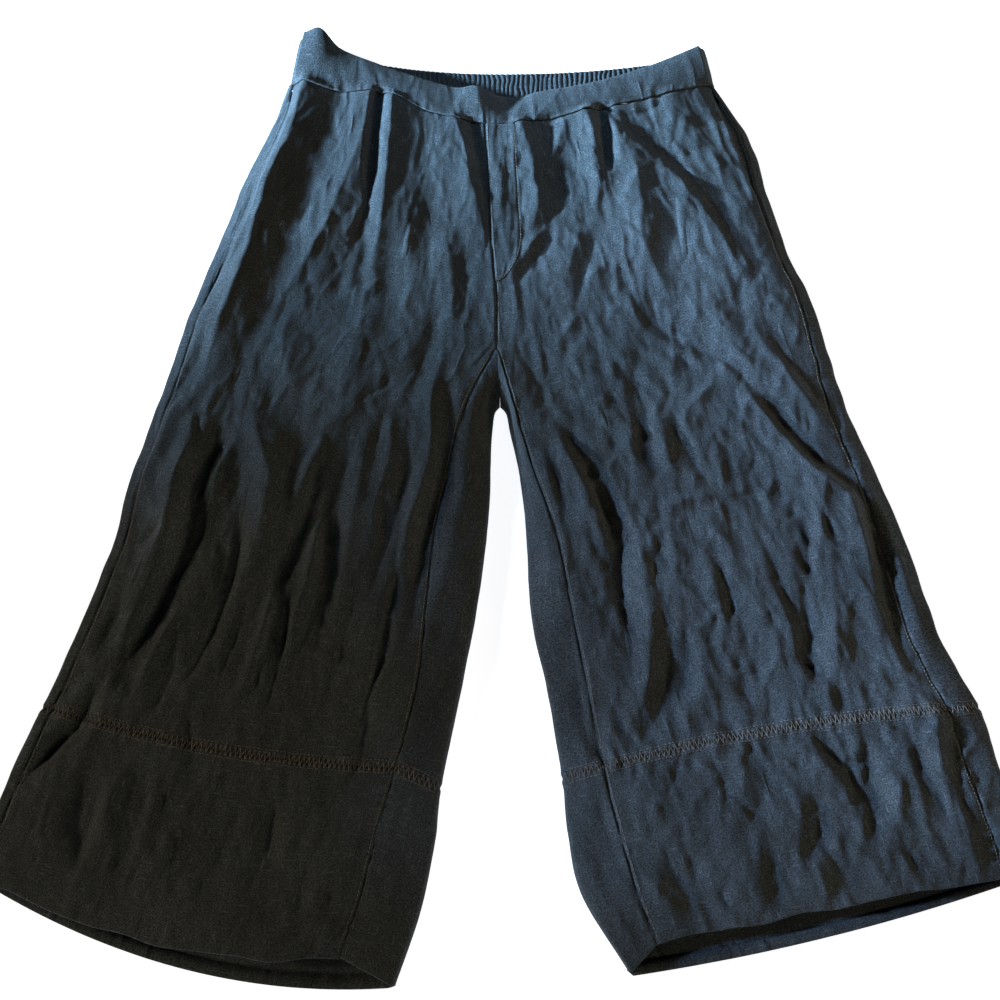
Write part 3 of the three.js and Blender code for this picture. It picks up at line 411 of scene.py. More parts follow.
def lattice_noise(x, y, cell_x, cell_y, seed):
    """Smooth noise from -1 to 1 with features about a cell in size."""
    table = np.random.default_rng(seed).uniform(-1, 1, (CELLS, CELLS))
    u = np.asarray(x, float) / cell_x + 1000
    v = np.asarray(y, float) / cell_y + 1000
    i = np.floor(u).astype(int)
    j = np.floor(v).astype(int)
    fu = smooth(u - i)
    fv = smooth(v - j)
    i0, i1, j0, j1 = i % CELLS, (i + 1) % CELLS, j % CELLS, (j + 1) % CELLS
    low = mix(table[i0, j0], table[i1, j0], fu)
    high = mix(table[i0, j1], table[i1, j1], fu)
    return mix(low, high, fv)


def line_noise(along, cell, seed):
    """Noise that varies along one line alone."""
    return lattice_noise(along, along * 0, cell, 1, seed)


def bell(distance, reach):
    return np.exp(-((distance / reach) ** 2))


def grid_of(*axes):
    """One grid of points or normals from the grids, rows or columns of their x, y and z."""
    return np.stack(np.broadcast_arrays(*axes), -1)


# ---------------------------------------------------------------- the legs' outlines
class Leg:
    """The outline of one leg, as smooth curves over the stations, with a corner at the fork."""

    def __init__(self, side, rows, folds):
        self.side = side
        self.side_seed, self.inner_seed = (5, 7) if side < 0 else (6, 8)
        self.rows = np.array(rows, float)
        self.folds = np.array(folds, float)

    def at(self, column, station):
        values = self.rows[:, LEG_COLUMNS.index(column)]
        stations = np.arange(len(values))
        if not column.startswith("seam"):
            return curve(stations, values, station)
        above = curve(stations[: CROTCH + 1], values[: CROTCH + 1], station)
        below = curve(stations[CROTCH:], values[CROTCH:], station)
        return np.where(np.asarray(station) < CROTCH, above, below)

    def fold(self, column, station):
        values = self.folds[:, FOLD_COLUMNS.index(column)]
        return curve(self.folds[:, 0], values, np.maximum(station, CROTCH))

    def row_ends(self, station):
        """The inner seam, the folded outer edge and the unit vector from the edge inward."""
        seam = np.stack([self.at("seam_x", station), self.at("seam_y", station)], -1)
        edge = np.stack([self.at("outer_x", station), self.at("outer_y", station)], -1)
        inward = seam - edge
        inward /= np.linalg.norm(inward, axis=-1, keepdims=True)
        along = np.asarray(station) * ROW_PITCH
        wander = sum(
            size * line_noise(along, cell, SEED + seed + self.side) for size, cell, seed in EDGE_WANDER
        )
        return seam, edge + inward * wander[..., None], inward


RIGHT = Leg(-1, RIGHT_ROWS, RIGHT_FOLD)
LEFT = Leg(1, LEFT_ROWS, LEFT_FOLD)


def bowed(leg, station, across):
    """How far a place on a bowed row lies toward the waist from the straight one."""
    return leg.at("bow", station) * 4 * across * (1 - across)


# ---------------------------------------------------------------- creases
TROUGH_SHARE = 0.4  # of the heights in the crease tables
RIDGE_SHARE = 0.5
FLANK_SHARE = 2.4
LEG_GAIN = {-1: 2.0, 1: 0.9}  # how much stronger each leg's creases grow from hip to knee
PATH_STEPS = 9  # straight steps between two places of a crease's path
FADE_IN = 0.36  # a crease grows and fades over these shares of its length
FADE_OUT = 0.42
CREST = 1.35  # above 1, so that a crease is sharp along its line
KNEE_START = 3  # the station where creases begin to grow stronger, and over how many stations
KNEE_LENGTH = 4


def place_on(leg, station, across):
    """x and y of a place on a leg: across is 0 at the inner seam and 1 at the outer edge."""
    seam, edge, _ = leg.row_ends(station)
    across = np.asarray(across)
    at = mix(seam, edge, across[..., None])
    return at[..., 0], at[..., 1] + bowed(leg, station, across)


def smooth_path(leg, path):
    """A path of places, as points of a smooth curve on the garment."""
    stations, across = np.array(path, float).T
    keys = np.arange(len(path))
    fine = np.linspace(0, keys[-1], PATH_STEPS * (len(path) - 1) + 1)
    return np.stack(place_on(leg, curve(keys, stations, fine), curve(keys, across, fine)), -1)


def one_crease(x, y, points, height, west, east, open_start):
    """Height that one crease adds: sharp along its line, thinning out toward both ends."""
    steps = np.diff(points, axis=0)
    lengths = np.linalg.norm(steps, axis=-1)
    starts = np.concatenate([[0], np.cumsum(lengths)])
    nearest = np.full_like(x, 1e9)
    along = np.zeros_like(x)
    flank = np.full_like(x, float(east))
    for start, step, length, passed in zip(points, steps, lengths, starts):
        dx, dy = x - start[0], y - start[1]
        t = np.clip((dx * step[0] + dy * step[1]) / length**2, 0, 1)
        distance = np.hypot(dx - t * step[0], dy - t * step[1])
        closer = distance < nearest
        nearest = np.where(closer, distance, nearest)
        along = np.where(closer, (passed + t * length) / starts[-1], along)
        is_west = (dy * step[0] - dx * step[1] > 0) == (step[1] > 0)
        flank = np.where(closer, np.where(is_west, west, east), flank)
    fade_in = 1 if open_start else smooth(along / FADE_IN)
    strength = fade_in * smooth((1 - along) / FADE_OUT)
    narrowing = mix(0.5, 1, strength)
    return height * strength * np.clip(1 - nearest / (flank * narrowing), 0, 1) ** CREST


def crease_height(x, y, creases):
    """Sum of the heights of creases, given as (points, height, west, east, open start)."""
    total = np.zeros_like(x)
    for points, height, west, east, open_start in creases:
        reach = 3 * max(west, east)
        low, high = points.min(0) - reach, points.max(0) + reach
        near = (x > low[0]) & (x < high[0]) & (y > low[1]) & (y < high[1])
        if near.any():
            total[near] += one_crease(x[near], y[near], points, height, west, east, open_start)
    return total


def below_hip(station):
    return float(smooth((station - KNEE_START) / KNEE_LENGTH))


def placed_creases(leg, rows):
    """The creases of one leg's table, as (points, height, west, east, open start)."""
    placed = []
    for crease in (Crease(*row) for row in rows):
        height = crease.height * (TROUGH_SHARE if crease.height < 0 else RIDGE_SHARE)
        height *= 1 + LEG_GAIN[leg.side] * below_hip(crease.path[0][0])
        flanks = FLANK_SHARE * crease.west, FLANK_SHARE * crease.east
        placed.append((smooth_path(leg, crease.path), height, *flanks, crease.open_start))
    return placed


SMALL_CREASES = 900
SMALL_ON_LEFT = 0.62  # share of them that lies on the left leg
SMALL_STATIONS = (0.4, 12.6)
SMALL_ACROSS = (0.06, 0.94)
SMALL_LEAN = (13, 28)  # degrees off the leg's direction: the average, and how much it varies
SMALL_REACH = (9, 36)  # half of a crease's length
SMALL_BEND = 0.16  # of that reach
SMALL_WIDTH = (4, 10)
SMALL_FLANKS = (0.7, 1.3)  # of that width
SMALL_STEEPNESS = (0.06, 0.14)  # height as a share of the width
SMALL_RIGHT_SHARE = 0.75  # of that steepness on the right leg
SMALL_GROWTH = (0.75, 1.8)  # of the heights, at the hip and below the knee


def scattered_creases():
    """Small creases over the top of both legs, mostly along the leg, more of them on the left."""
    rng = np.random.default_rng(SEED)
    creases = []
    for _ in range(SMALL_CREASES):
        leg = LEFT if rng.random() < SMALL_ON_LEFT else RIGHT
        station = rng.uniform(*SMALL_STATIONS)
        middle = np.array(place_on(leg, station, rng.uniform(*SMALL_ACROSS)))
        lean = math.radians(rng.normal(-90 + SMALL_LEAN[0] * leg.side, SMALL_LEAN[1]))
        reach = rng.uniform(*SMALL_REACH) * np.array([math.cos(lean), math.sin(lean)])
        bend = rng.normal(0, SMALL_BEND) * np.array([-reach[1], reach[0]])
        points = np.stack([middle - reach, middle + bend, middle + reach])
        width = rng.uniform(*SMALL_WIDTH)
        height = rng.choice([-1, 1]) * rng.uniform(*SMALL_STEEPNESS) * width
        height *= (1 if leg is LEFT else SMALL_RIGHT_SHARE) * mix(*SMALL_GROWTH, below_hip(station))
        west, east = width * rng.uniform(*SMALL_FLANKS), width * rng.uniform(*SMALL_FLANKS)
        creases.append((points, height, west, east, False))
    return creases


CREASES = placed_creases(RIGHT, RIGHT_CREASES) + placed_creases(LEFT, LEFT_CREASES)
CREASES += scattered_creases()
Layer = namedtuple("Layer", "cell height seed")
CRUMPLE = [Layer(48, 1.6, 4), Layer(26, 1.3, 1), Layer(13, 0.9, 2), Layer(7, 0.55, 3)]
CRUMPLE_TILT = math.radians(13)  # the way that each leg leans
CRUMPLE_LEFT_GAIN = 0.4
CRUMPLE_LOW_GAIN = 0.9
CRUMPLE_LENGTH = 2.9  # of its cells, as a share of their width


def crumple(x, y):
    """Fine, sharp-edged unevenness of washed linen, drawn out along the legs."""
    tilt = CRUMPLE_TILT * np.tanh(x / 60)
    u = x * np.cos(tilt) + y * np.sin(tilt)
    v = -x * np.sin(tilt) + y * np.cos(tilt)
    strength = 0.7 + CRUMPLE_LEFT_GAIN * smooth((x + 40) / 80)
    strength = strength * (1 + CRUMPLE_LOW_GAIN * smooth((120 - y) / 240))
    total = np.zeros_like(x)
    for layer in CRUMPLE:
        cell = layer.cell
        wander = 0.7 * cell * lattice_noise(u, v, 1.7 * cell, 3 * cell, SEED + 60 + layer.seed)
        n = lattice_noise(u + wander, v, cell, CRUMPLE_LENGTH * cell, SEED + layer.seed)
        total += layer.height * (0.4 - np.abs(n)) * strength
    return total


def relief(x, y):
    """Everything that the cloth's folds add to the height of the top layer."""
    return crease_height(x, y, CREASES) + crumple(x, y)


# ---------------------------------------------------------------- seams
WAIST_SEED = 15
SEAM_DEPTH = 1.1
SEAM_REACH = 1.3
PUCKERS = (0.55, 1.3)  # height beside a seam: down the leg, and in the hem band
PUCKER_CELL = 5.5
PUCKER_REACH = 8
HEM_CHANNEL = {"depth": 0.7, "reach": 1.6}
HEM_RIDGES = {"height": 0.5, "at": 4, "reach": 2.2}
HEM_PUCKERS = {"height": 0.5, "cell": 6}


def seam_dip(distance, along, seed):
    """The cloth dives into a seam and puckers beside it; distance and along are in millimetres."""
    d = np.abs(distance)
    groove = -SEAM_DEPTH * bell(d, SEAM_REACH)
    in_band = smooth(along / ROW_PITCH - (HEM_SEAM - 1))
    pucker = mix(*PUCKERS, in_band) * lattice_noise(along, d * 0, PUCKER_CELL, 1, SEED + seed)
    return groove + pucker * bell(d, PUCKER_REACH) * smooth(d / 1.5)


def hem_seam_dip(station, x):
    """The hem band's seam: a shallow channel between two raised rows of stitching, with puckers."""
    d = (station - HEM_SEAM) * ROW_PITCH
    channel = -HEM_CHANNEL["depth"] * bell(d, HEM_CHANNEL["reach"])
    ridges = HEM_RIDGES["height"] * bell(np.abs(d) - HEM_RIDGES["at"], HEM_RIDGES["reach"])
    puckers = HEM_PUCKERS["height"] * line_noise(x, HEM_PUCKERS["cell"], SEED + 9)
    return channel + ridges + puckers * bell(d, PUCKER_REACH)


# ---------------------------------------------------------------- the top layer
def drop(distance):
    """How much of the climb from a rolled edge to full height is left at a distance from it."""
    return (1 - np.clip((distance - ROLL_IN) / RISE_REACH, 0, 1)) ** 2


def folds_share(distance):
    """How much of the folds' height shows at a distance from a rolled edge."""
    return mix(EDGE_FOLDS, 1, smooth((distance - EDGE_CALM["width"]) / EDGE_CALM["reach"]))


def top_base(leg, station, x, y, from_outer):
    """Height of the top layer without its folds, and how much of the folds shows there."""
    crown = leg.at("crown", station)
    in_leg = smooth((station - CROTCH) / FORK_EASE)
    from_inner = np.hypot(x - leg.fold("x", station), y - leg.fold("y", station))
    rise = (crown - ROLL_TOP) * (1 - drop(from_outer)) * (1 - in_leg * drop(from_inner))
    outer_share = folds_share(from_outer)
    inner_share = mix(1, folds_share(from_inner), in_leg)
    return ROLL_TOP + rise, outer_share * inner_share


def front_points(leg, station, across):
    """Points of a front panel: across 0 at the inner seam, 1 at the outer edge of the cut."""
    station, across = np.broadcast_arrays(station, across)
    seam, edge, inward = leg.row_ends(station)
    tuck = leg.at("wrap", station) + leg.at("mouth", station) + SEAM_GAP / 2
    start = seam - inward * SEAM_GAP / 2
    end = edge + inward * tuck[..., None]
    at = mix(start, end, across[..., None])
    from_outer = np.linalg.norm(at - edge, axis=-1)
    width = np.linalg.norm(end - start, axis=-1)
    x, y = at[..., 0], at[..., 1] + bowed(leg, station, across)
    y = y + waist_shift(leg, across) * (1 - smooth(station / WAIST_SHIFT_END))
    base, share = top_base(leg, station, x, y, from_outer)
    along = station * ROW_PITCH
    z = base + share * relief(x, y)
    z = z + seam_dip((1 - across) * width, along, leg.side_seed)
    z = z + seam_dip(across * width, along, leg.inner_seed)
    z = z + hem_seam_dip(station, x) + pocket_lip(leg, station, (1 - across) * width)
    return grid_of(x, y, z)


def pocket_lip(leg, station, distance):
    """How far the edge of a pocket's mouth stands up from what is under it."""
    last = POCKET_END[leg.side]
    opening = smooth((station - 0.35) / 0.5) * smooth((last - station) / 0.6)
    return POCKET_LIP * opening * bell(distance, POCKET_LIP_REACH)


def side_share(x):
    """The share of the way from the centre to a side of the waist."""
    return np.abs(x / np.where(x < 0, RIGHT_ROWS[0][2], LEFT_ROWS[0][2]))


def waist_seam_y(x):
    """Course of the seam between the front panels and their waistband."""
    pinch = WAIST_PINCH["rise"] * bell(x - WAIST_PINCH["x"], WAIST_PINCH["reach"])
    return SIDE_WAIST_Y - WAIST_DIP * (1 - side_share(x) ** WAIST_CLIMB) + pinch


def waist_shift(leg, across):
    """How far the waist seam departs from the straight top row of the leg's table."""
    seam, edge, inward = leg.row_ends(np.zeros_like(across))
    end = edge + inward * leg.at("wrap", 0.0)
    at = mix(seam, end, across[..., None])
    return waist_seam_y(at[..., 0]) - at[..., 1] - bowed(leg, 0.0, across)


# ---------------------------------------------------------------- meshes from grids
# For each side of a grid's cell: the way to the next cell, and the side's first and last corner
SIDES_OF_CELL = (
    (-1, 0, (0, 0), (0, 1)),
    (0, 1, (0, 1), (1, 1)),
    (1, 0, (1, 1), (1, 0)),
    (0, -1, (1, 0), (0, 0)),
)


def shell(name, outer, normals, thickness, material, keep=None, uv=None):
    """A closed thin wall from a grid of points, with a rim along every free edge."""
    rows, columns = outer.shape[:2]
    inner = outer - normals * thickness
    if keep is None:
        keep = np.ones((rows - 1, columns - 1), bool)
    ids = np.arange(rows * columns).reshape(rows, columns)
    i, j = np.nonzero(keep)
    top = np.stack([ids[i, j], ids[i, j + 1], ids[i + 1, j + 1], ids[i + 1, j]], -1)
    bottom = top[:, ::-1] + rows * columns
    padded = np.zeros((rows + 1, columns + 1), bool)
    padded[1:-1, 1:-1] = keep
    rims = []
    for di, dj, a, b in SIDES_OF_CELL:
        free = keep & ~padded[1 + di : rows + di, 1 + dj : columns + dj]
        fi, fj = np.nonzero(free)
        start = ids[fi + a[0], fj + a[1]]
        end = ids[fi + b[0], fj + b[1]]
        rims.append(np.stack([end, start, start + rows * columns, end + rows * columns], -1))
    faces = np.concatenate([top, bottom, *rims])
    points = np.concatenate([outer.reshape(-1, 3), inner.reshape(-1, 3)]) * MM
    if uv is None:
        uv = cloth_uv(outer)
    both = np.concatenate([uv.reshape(-1, 2), uv.reshape(-1, 2)])
    return make_mesh(name, points, faces, material, both)


def cloth_uv(grid):
    """Lengths along the grid's rows and columns, in metres, so that a weave keeps its size."""
    middle, centre = grid.shape[0] // 2, grid.shape[1] // 2
    return grid_of(lengths_along(grid[middle])[None, :], lengths_along(grid[:, centre])[:, None]) * MM


def lengths_along(line):
    """The length from the start of a line of points to each of them."""
    steps = np.linalg.norm(np.diff(line, axis=0), axis=-1)
    return np.concatenate([[0], np.cumsum(steps)])


def make_mesh(name, points, faces, material, uv=None):
    """A smooth-shaded mesh object; vertices that no face uses are left out."""
    used, compact = np.unique(faces, return_inverse=True)
    faces = compact.reshape(faces.shape)
    mesh = bpy.data.meshes.new(name)
    mesh.vertices.add(len(used))
    mesh.vertices.foreach_set("co", points[used].astype(np.float32).ravel())
    corners = faces.shape[1]
    mesh.loops.add(faces.size)
    mesh.loops.foreach_set("vertex_index", faces.astype(np.int32).ravel())
    mesh.polygons.add(len(faces))
    mesh.polygons.foreach_set("loop_start", np.arange(0, faces.size, corners, dtype=np.int32))
    mesh.update(calc_edges=True)
    mesh.polygons.foreach_set("use_smooth", np.ones(len(faces), bool))
    if uv is not None:
        layer = mesh.uv_layers.new(name="cloth")
        layer.data.foreach_set("uv", uv[used][faces.ravel()].astype(np.float32).ravel())
    mesh.materials.append(material)
    mesh.validate()
    mesh.update()
    piece = bpy.data.objects.new(name, mesh)
    bpy.context.scene.collection.objects.link(piece)
    return piece


def leg_shell(leg, name, points, normals, thickness, material, keep=None, uv=None):
    """A shell from grids whose columns run outward, turned so that it faces up on both legs."""
    if leg.side > 0:
        points, normals = points[:, ::-1], normals[:, ::-1]
        keep = None if keep is None else keep[:, ::-1]
        uv = None if uv is None else uv[:, ::-1]
    return shell(name, points, normals, thickness, material, keep, uv)


def level_normals(grid, up=1):
    """Normals that all point straight up, or down where up is -1."""
    normals = np.zeros_like(grid)
    normals[..., 2] = up
    return normals


def turned_under(points, normals, radius=1.1, depth=9, rows=6):
    """Adds rows that turn the last row of a grid under and a little way back, as a hem does."""
    down = points[-1] - points[-2]
    down -= normals[-1] * (down * normals[-1]).sum(-1, keepdims=True)
    down /= np.linalg.norm(down, axis=-1, keepdims=True)
    edge, out = points[-1], normals[-1]
    new_points, new_normals = [], []
    for angle in np.linspace(0, math.pi, rows + 1)[1:]:
        cos, sin = math.cos(angle), math.sin(angle)
        new_points.append(edge + down * radius * sin - out * radius * (1 - cos))
        new_normals.append(out * cos + down * sin)
    step = np.linalg.norm(points[-1] - points[-2], axis=-1).mean()
    for back in (depth * 0.4, depth):
        above = -1 - max(1, round(back / step))
        new_points.append(points[above] - normals[above] * 2 * radius)
        new_normals.append(-normals[above])
    return np.concatenate([points, new_points]), np.concatenate([normals, new_normals])


NEAR_SEAM = (0, 0.5, 1.1, 1.9, 3.0)  # millimetres from a seam to the columns beside it


def column_places(count, width):
    """Places from 0 to 1 across a panel, closer together beside both seams."""
    near = np.array(NEAR_SEAM) / width
    middle = np.linspace(near[-1], 1 - near[-1], count)
    return np.concatenate([near[:-1], middle, 1 - near[:-1][::-1]])


# ---------------------------------------------------------------- front panels
def station_rows(first, last, step):
    """A column of stations between two seams, half a seam's gap short of each."""
    gap = SEAM_GAP / 2 / ROW_PITCH
    return np.linspace(first + gap, last - gap, round((last - first) / step) + 1)[:, None]


def front_panel(leg, name, material):
    stations = station_rows(0, HEM_SEAM, FRONT_ROWS)
    points = front_points(leg, stations, column_places(FRONT_COLUMNS, FRONT_WIDTH)[None, :])
    points[..., 2] += seam_dip(stations * ROW_PITCH, points[..., 0], WAIST_SEED)
    return leg_shell(leg, name, points, level_normals(points), CLOTH, material)


def hem_front(leg, name, material):
    stations = station_rows(HEM_SEAM, HEM, HEM_FRONT_ROWS)
    points = front_points(leg, stations, column_places(FRONT_COLUMNS, HEM_WIDTH)[None, :])
    wave = line_noise(points[..., 0], HEM_WAVE_CELL, SEED + 51)
    points[..., 1] += HEM_WAVE * wave * smooth(stations - HEM + 1)
    points, normals = turned_under(points, level_normals(points))
    return leg_shell(leg, name, points, normals, CLOTH, material)


# ---------------------------------------------------------------- back panels
FLOOR_COLUMNS = 76
INNER_COLUMNS = 18
NEAR_INSEAM = (0.06, 0.035, 0.015, 0)  # shares of the inner strip's width from the inseam
BACK_CREASES = 46
BACK_CREASE_Y = (-330, 380)
BACK_CREASE_END_Y = -455
BACK_CREASE_LENGTH = (50, 170)
BACK_CREASE_LEAN = (12, 14)  # degrees: the average, and how much it varies
BACK_CREASE_WIDTH = (5, 10)
BACK_CREASE_HEIGHT = (1, 3)
NEAR_FORK = (4.0, 4.03, 4.07, 4.12, 4.18, 4.25, 4.33, 4.41)  # stations, closer together at the fork


def roll_points(edge, outward, angles):
    """Points and normals round a rolled edge; the angles run from -90 degrees, on the floor, up."""
    cos, sin = np.cos(angles), np.sin(angles)
    out = outward[:, None, :] * cos[None, :, None]
    normals = grid_of(out[..., 0], out[..., 1], sin[None, :])
    flat = edge[:, None, :] + outward[:, None, :] * (ROLL * (cos - 1))[None, :, None]
    points = grid_of(flat[..., 0], flat[..., 1], ROLL * (1 + sin)[None, :])
    return points, normals, smooth((angles + math.pi / 2) / 1.2)


def dented_roll(station, edge, outward, angles):
    """A rolled edge with a part of the folds' relief, and its normals."""
    points, normals, lift = roll_points(edge, outward, angles)
    x, y = points[..., 0], points[..., 1]
    dents = EDGE_FOLDS * relief(x, y) + hem_seam_dip(np.broadcast_to(station[:, None], x.shape), x)
    return points + normals * (dents * lift)[..., None], normals


def side_strip(leg, station, distance):
    """Points of a back piece between the side seam and the roll, a distance in from the edge."""
    _, edge, inward = leg.row_ends(station)
    at = edge + inward * distance[..., None]
    x, y = at[..., 0], at[..., 1]
    base, share = top_base(leg, station, x, y, distance)
    seam_in = leg.at("wrap", station) - SEAM_GAP / 2
    z = base + share * relief(x, y) + hem_seam_dip(station, x)
    z = z + seam_dip(seam_in - distance, station * ROW_PITCH, leg.side_seed)
    return grid_of(x, y, z)


FAR = 1e6  # from the outer edge
STRIP_SHARES = (0, 0.05, 0.12, 0.22, 0.36, 0.5, 0.66, 0.83)  # from the side seam to the roll


def outer_strip(leg, stations):
    """Strip and roll of a back piece, from the side seam round to the floor."""
    station = stations[:, 0]
    _, edge, inward = leg.row_ends(station)
    seam_in = leg.at("wrap", station) - SEAM_GAP / 2
    distance = mix(seam_in[:, None], ROLL_IN, np.array(STRIP_SHARES)[None, :])
    strip = side_strip(leg, np.broadcast_to(stations, distance.shape), distance)
    angles = np.linspace(ROLL_END, -math.pi / 2, ROLL_ANGLES)
    roll, normals = dented_roll(station, edge, -inward, angles)
    return np.concatenate([strip, roll], 1), np.concatenate([level_normals(strip), normals], 1)


def floor_run(start, end, bow, side):
    """The underside between two points of each row: flat on the floor, with shallow dents."""
    t = np.linspace(0, 1, FLOOR_COLUMNS + 1)[None, 1:]
    x = mix(start[:, None, 0], end[:, None, 0], t)
    y = mix(start[:, None, 1], end[:, None, 1], t) + bow[:, None] * 4 * t * (1 - t)
    dents = crease_height(x, y, back_creases(side))
    away = smooth(4 * t) * smooth(4 * (1 - t))
    points = grid_of(x, y, np.maximum(0, 1.1 * dents + 0.5 * crumple(-x, y)) * away)
    return points, level_normals(points, -1)


def back_creases(side):
    """Creases of the underside: long ones fanning from the waist and knee, pressed flat."""
    rng = np.random.default_rng(SEED + 200 + side)
    creases = []
    for _ in range(BACK_CREASES):
        y = rng.uniform(*BACK_CREASE_Y)
        below = max(0, -y)
        start = np.array([side * rng.uniform(30 + below * 0.3, 210 + below * 0.4), y])
        length = rng.uniform(*BACK_CREASE_LENGTH)
        lean = math.radians(-90 + side * rng.normal(*BACK_CREASE_LEAN))
        end = start + length * np.array([math.cos(lean), math.sin(lean)])
        end[1] = max(BACK_CREASE_END_Y, end[1])
        middle = mix(start, end, 0.5) + np.array([rng.normal(0, 6), 0])
        width = rng.uniform(*BACK_CREASE_WIDTH)
        height = rng.uniform(*BACK_CREASE_HEIGHT)
        creases.append((np.stack([start, middle, end]), height, width, 1.2 * width, False))
    return creases


def hip_rows(leg, stations):
    """A back piece from the side seam round to the centre back seam."""
    outer, outer_normals = outer_strip(leg, stations)
    down = stations[:, 0] / CROTCH
    centre = np.stack([np.full_like(down, leg.side * SEAM_GAP / 2), mix(BACK_WAIST_Y, GAP_TOP_Y, down)], -1)
    bow = mix((BACK_WAIST_Y - SIDE_WAIST_Y) / 4, 0, down)
    floor, floor_normals = floor_run(outer[:, -1, :2], centre, bow, leg.side)
    return np.concatenate([outer, floor], 1), np.concatenate([outer_normals, floor_normals], 1)


def inner_fold(leg, station):
    """Where a back piece folds round the inner leg, and the way that the fold faces."""
    turn = np.radians(leg.fold("turn", station))
    outward = np.stack([-leg.side * np.cos(turn), np.sin(turn)], -1)
    return np.stack([leg.fold("x", station), leg.fold("y", station)], -1), outward


def inner_strip(leg, station, t):
    """Points of a back piece between the roll round the inner leg, t = 0, and the inseam, t = 1."""
    fold, outward = inner_fold(leg, station)
    start = fold + outward * ROLL * (math.cos(ROLL_END) - 1)
    seam, _, inward = leg.row_ends(station)
    near_fork = (1 - smooth((station - CROTCH) / 0.05))[:, None]
    fork = np.stack([seam[:, 0] + leg.side * SEAM_GAP / 2, seam[:, 1] - FORK_POINT], -1)
    end = mix(seam + inward * SEAM_GAP / 2, fork, near_fork)
    x = mix(start[:, None, 0], end[:, None, 0], t)
    y = mix(start[:, None, 1], end[:, None, 1], t)
    s = np.broadcast_to(station[:, None], x.shape)
    at_seam, _ = top_base(leg, station, end[:, 0], end[:, 1], FAR)
    _, share = top_base(leg, s, x, y, FAR)
    z = mix(ROLL_TOP, at_seam[:, None], 1 - (1 - t) ** 2) + share * relief(x, y)
    width = np.linalg.norm(end - start, axis=-1)[:, None]
    z = z + seam_dip((1 - t) * width, s * ROW_PITCH, leg.inner_seed) + hem_seam_dip(s, x)
    return grid_of(x, y, z)


def leg_rows(leg, stations):
    """A back piece from the side seam, under the leg and round its inner edge to the inseam."""
    outer, outer_normals = outer_strip(leg, stations)
    station = stations[:, 0]
    angles = np.linspace(-math.pi / 2, ROLL_END, ROLL_ANGLES)
    roll, roll_normals = dented_roll(station, *inner_fold(leg, station), angles)
    floor, floor_normals = floor_run(outer[:, -1, :2], roll[:, 0, :2], leg.fold("bow", station), leg.side)
    t = 1 - np.concatenate([np.linspace(1, 0.1, INNER_COLUMNS)[1:], NEAR_INSEAM])
    strip = inner_strip(leg, station, t[None, :])
    points = np.concatenate([outer, floor, roll[:, 1:], strip], 1)
    normals = [outer_normals, floor_normals, roll_normals[:, 1:], level_normals(strip)]
    return points, np.concatenate(normals, 1)


def back_panel(leg, name, material):
    """A whole back leg; above the fork its rows end at the centre back seam."""
    hips = station_rows(0, CROTCH - 0.03, BACK_ROWS)
    below = np.concatenate([np.array(NEAR_FORK)[:, None], station_rows(4.5, HEM_SEAM, BACK_ROWS)])
    hip, hip_normals = hip_rows(leg, hips)
    low, low_normals = leg_rows(leg, below)
    extra = low.shape[1] - hip.shape[1]
    hip_cells = hip.shape[1] - 1
    points = np.concatenate([widened(hip, extra), low])
    normals = np.concatenate([widened(hip_normals, extra), low_normals])
    keep = np.ones((points.shape[0] - 1, points.shape[1] - 1), bool)
    keep[: len(hips), hip_cells:] = False
    uv = cloth_uv(points[::-1])[::-1]
    return leg_shell(leg, name, points, normals, CLOTH, material, keep, uv)


def widened(grid, count):
    """The grid with its last column repeated."""
    return np.concatenate([grid, np.repeat(grid[:, -1:], count, 1)], 1)


def hem_back(leg, name, material):
    points, normals = turned_under(*leg_rows(leg, station_rows(HEM_SEAM, HEM, HEM_BACK_ROWS)))
    return leg_shell(leg, name, points, normals, CLOTH, material)


# ---------------------------------------------------------------- waist
def band_top(places):
    """x, y and z of the front waistband's top edge; places run from -1, the -X side, to 1."""
    share = np.abs(places)

    def end(key):
        return np.where(places < 0, BAND_ENDS[-1][key], BAND_ENDS[1][key])

    x = mix(BAND_CENTRE["x"], end("x"), share ** end("spread"))
    y = mix(BAND_CENTRE["y"], end("y"), share ** end("climb"))
    z = mix(BAND_CENTRE["z"], end("z"), share)
    for form in (BAND_HOLLOW, *BAND_PEAKS):
        here = bell(places - form["along"], form["reach"])
        y = y + form["rise"] * here
        z = z + form["height"] * here
    return x, y, z


def evened(values, reach):
    """The average of each row's values over a number of columns to each side."""
    padded = np.pad(values, ((0, 0), (reach, reach)), mode="edge")
    sums = np.cumsum(np.pad(padded, ((0, 0), (1, 0))), axis=1)
    return (sums[:, 2 * reach + 1 :] - sums[:, : -2 * reach - 1]) / (2 * reach + 1)


def band_swell(rows):
    """How far the doubled waistband swells between its two edges."""
    return BAND_SWELL * np.sin(np.pi * rows) ** 0.5


def band_dip(rows):
    """How far the front waistband sinks into the seam along its low edge."""
    return BAND_DIP * smooth(rows / 0.1)


